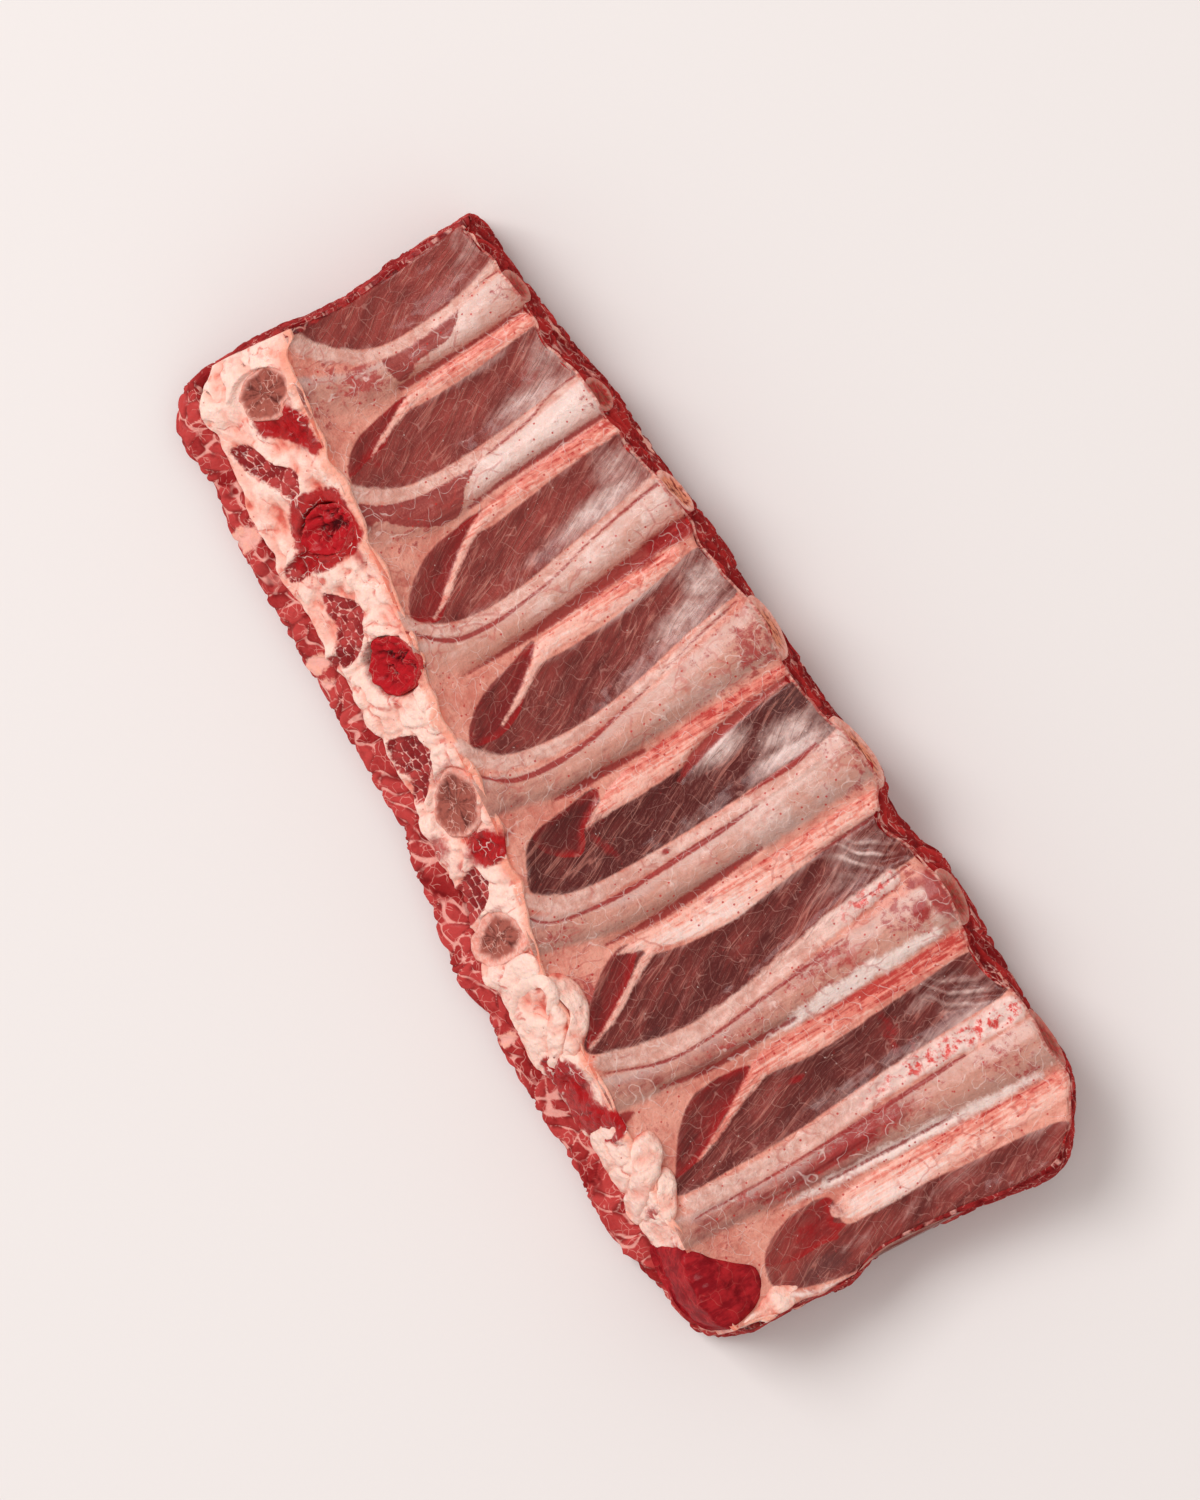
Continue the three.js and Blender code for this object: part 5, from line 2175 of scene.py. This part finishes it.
@dataclass
class CornerTrim:
    """The bare lump of lean on the right corner of the spine side."""

    lump: Cushion = Cushion(
        ((157, -65.5), (163.5, -60.7), (169.5, -54.7), (175, -48.8), (181.3, -49.3), (186, -53.3),
         (188.6, -59.3), (189.5, -69), (187.5, -76), (178, -80), (166, -81), (154, -79.5), (149.5, -75)),
        4.4, 1.0, 8.0, 4.0, 71,
    )
    flap: Cushion = Cushion(
        ((184.5, -47), (187, -42), (189.5, -38.7), (192.6, -40.5), (194.6, -45), (194, -51),
         (191.5, -57), (190, -64), (188.2, -57), (185.5, -51)),
        1.6, 0.5, 4.0, 3.0, 72,
    )

    def build(self) -> list[Piece]:
        """Build and dress the lump and the flap of fat beside it.

        Returns:
            The pieces.
        """
        pieces = []
        finishes = (("corner_trim", self.lump, TrimFinish(), "lean"),)
        finishes += (("end_flap", self.flap, FatFinish("end_fat", plain=True), "fat"),)
        for name, cushion, finish, slot in finishes:
            shells = Shells()
            cushion.add_to(shells)
            piece = shells.build(name)
            piece.data.materials.append(finish.dress())
            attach(piece, "root")
            pieces.append(piece)
        return pieces


@dataclass
class RibBone:
    """One rib: an oval bar under the membrane with a sawn end on each side of the rack."""

    number: int
    rib: Rib
    sides: int = 72
    sections: int = 36
    cap_rings: int = 22
    start_half_height: float = 7.5
    tip_half_height: float = 6.2
    under_membrane: float = 1.6
    proud: float = 0.3
    tip_proud: float = 1.4
    tip_tilt: float = 0.9

    def cap(self, ring: Array, facing: float, radius: float, kind: EndKind) -> dict[str, Array]:
        """Fill one end of the bar with concentric rings.

        Args:
            ring: The end's outline, one row a point.
            facing: -1 on the spine side, 1 at the tips.
            radius: Rough radius of the end.
            kind: How the end looks.

        Returns:
            The places and their fields, the hub last.
        """
        centre = ring.mean(0)
        turn = np.arange(self.sides) / self.sides * 2 * np.pi
        lumps = Lumps(40 + self.number)
        places, depths, spokes, swells = [], [], [], []
        clot = kind is EndKind.CLOT
        for i in range(1, self.cap_rings + 1):
            share = 1 - i / self.cap_rings
            spot = (centre + (ring - centre) * share)[: self.sides if share else 1]
            depth = (1 - share) * radius
            dip = float(between(0.4, 3.6, np.array(depth))) * (3.2 if clot else 0.3)
            rough = lumps.octaves(4.2 if clot else 3.0, 3, spot[:, 0], spot[:, 1] * 1.2, spot[:, 2])
            folds = np.abs(rough) * 2 - 0.5 if clot else rough
            rim = 0.5 * math.exp(-((depth - 1.0) ** 2))
            spot[:, 1] += facing * (rim - dip + (1.9 if clot else 0.3) * folds * min(depth, 1.0))
            places.append(spot)
            depths.append(np.full(len(spot), depth))
            swells.append(folds)
            wheel = [np.cos(turn) * 3.2, np.sin(turn) * 3.2, np.full(self.sides, depth * 0.14)]
            spokes.append(np.stack(wheel, -1)[: len(spot)])
        return {
            "place": np.vstack(places),
            "depth": np.concatenate(depths),
            "spoke": np.vstack(spokes),
            "swell": np.concatenate(swells),
        }

    def numbers(self, first: int, count: int) -> list[list[int]]:
        """Vertex numbers of whole rings that lie one after another."""
        return (first + np.arange(count).reshape(-1, self.sides)).tolist()

    def rings(self) -> Array:
        """Outlines along the bar, from the spine side to the tips."""
        rib, end = self.rib, self.rib.end
        turn = np.arange(self.sides) / self.sides * 2 * np.pi
        rings = []
        for i in range(self.sections + 1):
            station = i / self.sections
            x, y = float(rib.x_at(station)), float(rib.y_at(station))
            half_x = float(rib.half_width(station)) * (1 - station) + rib.tip_half_x * station
            half_z = self.start_half_height
            closing = float(between(0.7, 1.0, np.array(station)))
            half_z += (self.tip_half_height - self.start_half_height) * closing
            top = float(dish_height(np.array(x), np.array(y))) + 2.2 * math.sin(math.pi * min(station, 0.5))
            z = top - self.under_membrane + 1.0 * closing - half_z
            rings.append(np.stack([x + np.cos(turn) * half_x, y + 0 * turn, z + np.sin(turn) * half_z], -1))
        c, s = math.cos(math.radians(end.turn)), math.sin(math.radians(end.turn))
        uneven = 0.16 if end.kind is EndKind.CLOT else 0.14
        bumps = Lumps(50 + self.number).octaves(1.0, 2, np.cos(turn) * 1.6, np.sin(turn) * 1.6)
        wobble = (1 + uneven * bumps) * (1 + end.taper * np.sin(turn + 0.5))
        along, across = np.cos(turn) * end.half_x * wobble, np.sin(turn) * end.half_y * wobble
        x, y = end.x + along * c - across * s, end.y + along * s + across * c
        sunk = 5.0 if end.kind is EndKind.COVERED else -self.proud
        surface = face_height(x, np.minimum(y, crest_y(x) - 0.2))
        start = np.stack([x, y + sunk * 0.7, surface - sunk * 0.7], -1)
        rings[0] = start
        rings[1] = 0.5 * (start + rings[2])
        tip = rings[-1]
        tip[:, 1] = LeanBody.tip_wall(tip[:, 0], tip[:, 2]) + self.tip_proud - rib.tip_inset * 0.4
        tip[:, 1] += self.tip_tilt * (1 - np.sin(turn))
        return np.array(rings)

    def build(self) -> Piece:
        """Build and dress the rib.

        Returns:
            The piece.
        """
        kind = self.rib.end.kind
        rings = self.rings()
        radius = min(self.rib.end.half_x, self.rib.end.half_y)
        start = self.cap(rings[0], -1.0, radius, kind)
        tip = self.cap(rings[-1], 1.0, self.tip_half_height, EndKind.MARROW)
        count = rings.shape[0] * self.sides
        body = {"place": rings.reshape(-1, 3), "depth": np.zeros(count), "swell": np.zeros(count)}
        body["spoke"] = np.zeros((count, 3))
        whole = {name: np.concatenate([body[name], start[name], tip[name]]) for name in body}
        inner = (self.cap_rings - 1) * self.sides
        after = count + inner + 1
        bar = self.numbers(0, count)
        near_cap = [*self.numbers(count, inner), [count + inner]]
        far_cap = [*self.numbers(after, inner), [after + inner]]
        faces = lace(near_cap[::-1] + bar + far_cap)
        piece = build_mesh(f"rib_{self.number}", whole.pop("place"), faces)
        widths = {EndKind.MARROW: 0.6, EndKind.STREAKED: 2.4, EndKind.CLOT: -0.4, EndKind.COVERED: 2.0}
        at_tip = (np.arange(len(whole["depth"])) >= after) * 1.0
        ring = np.where(at_tip > 0, 1.7, widths[kind])
        covered = at_tip * (0.85 if self.rib.tip_inset else 0.0)
        write_fields(piece, whole | {"ring": ring, "tip": at_tip, "covered": covered})
        piece.data.materials.append(BoneEndFinish(kind).dress())
        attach(piece, "root")
        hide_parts(f"rib_bone_{self.number}")
        return piece


@dataclass
class Studio:
    """Floor, lights and the camera straight above."""

    pixel: float = 0.36
    picture_height: int = 1500
    aim: tuple[float, float] = (-11.8, 0.8)
    right: tuple[float, float] = (0.5225, 0.8526)
    level: float = 30.0
    camera_height: float = 2.6
    sky: Rgb = (1.0, 0.95, 0.92)
    sky_strength: float = 0.655

    def directions(self) -> tuple[Vector, Vector]:
        """The picture's right and up as directions over the floor."""
        right = Vector((*self.right, 0.0))
        return right, Vector((-right.y, right.x, 0.0))

    def camera(self) -> None:
        """Place the camera."""
        data = bpy.data.cameras.new("camera")
        data.sensor_fit = "VERTICAL"
        distance = self.camera_height - self.level * MM
        data.angle_y = 2 * math.atan(self.picture_height * self.pixel * MM / 2 / distance)
        camera = bpy.data.objects.new("camera", data)
        right, up = self.directions()
        turned = Matrix((right, up, right.cross(up))).transposed().to_4x4()
        place = Vector((self.aim[0] * MM, self.aim[1] * MM, self.camera_height))
        camera.matrix_world = Matrix.Translation(place) @ turned
        bpy.context.scene.collection.objects.link(camera)
        bpy.context.scene.camera = camera

    def lamp(self, name: str, toward: Rgb, distance: float, size: float, watts: float) -> None:
        """Hang one soft light.

        Args:
            name: The light's name.
            toward: Direction to it as picture right, picture up and height.
            distance: How far away it hangs, in metres.
            size: Side of its square, in metres.
            watts: Power.
        """
        data = bpy.data.lights.new(name, "AREA")
        data.size = size
        data.energy = watts
        lamp = bpy.data.objects.new(name, data)
        right, up = self.directions()
        direction = right * toward[0] + up * toward[1] + Vector((0, 0, toward[2]))
        lamp.location = direction.normalized() * distance
        lamp.rotation_euler = direction.to_track_quat("Z", "Y").to_euler()
        bpy.context.scene.collection.objects.link(lamp)

    def build(self) -> None:
        """Set up floor, lights, surroundings and camera."""
        self.camera()
        corners = [(-4000, -4000, 0), (4000, -4000, 0), (4000, 4000, 0), (-4000, 4000, 0)]
        floor = build_mesh("floor", np.array(corners, float), [(0, 1, 2, 3)])
        floor.data.materials.append(FloorFinish().dress())
        self.lamp("key", (-1.0, 0.6, 1.5), 6.0, 3.0, 220.0)
        world = bpy.data.worlds.new("surroundings")
        world.use_nodes = True
        background = world.node_tree.nodes["Background"]
        background.inputs["Color"].default_value = (*self.sky, 1.0)
        background.inputs["Strength"].default_value = self.sky_strength
        bpy.context.scene.world = world
        bpy.context.scene.view_settings.view_transform = "Standard"


def main() -> None:
    """Build the rack and its studio, piece by piece."""
    logging.basicConfig(level=logging.INFO, format="%(message)s")
    Studio().build()
    pieces = [BoneSide().build(), LeanBody().build(), ChineFat().build(), LooseFat().build()]
    pieces += CornerTrim().build()
    pieces += [RibBone(i + 1, rib).build() for i, rib in enumerate(RIBS)]
    for piece in pieces:
        log.info("%s: %d faces", piece.name, len(piece.data.polygons))


if __name__ == "__main__":
    main()
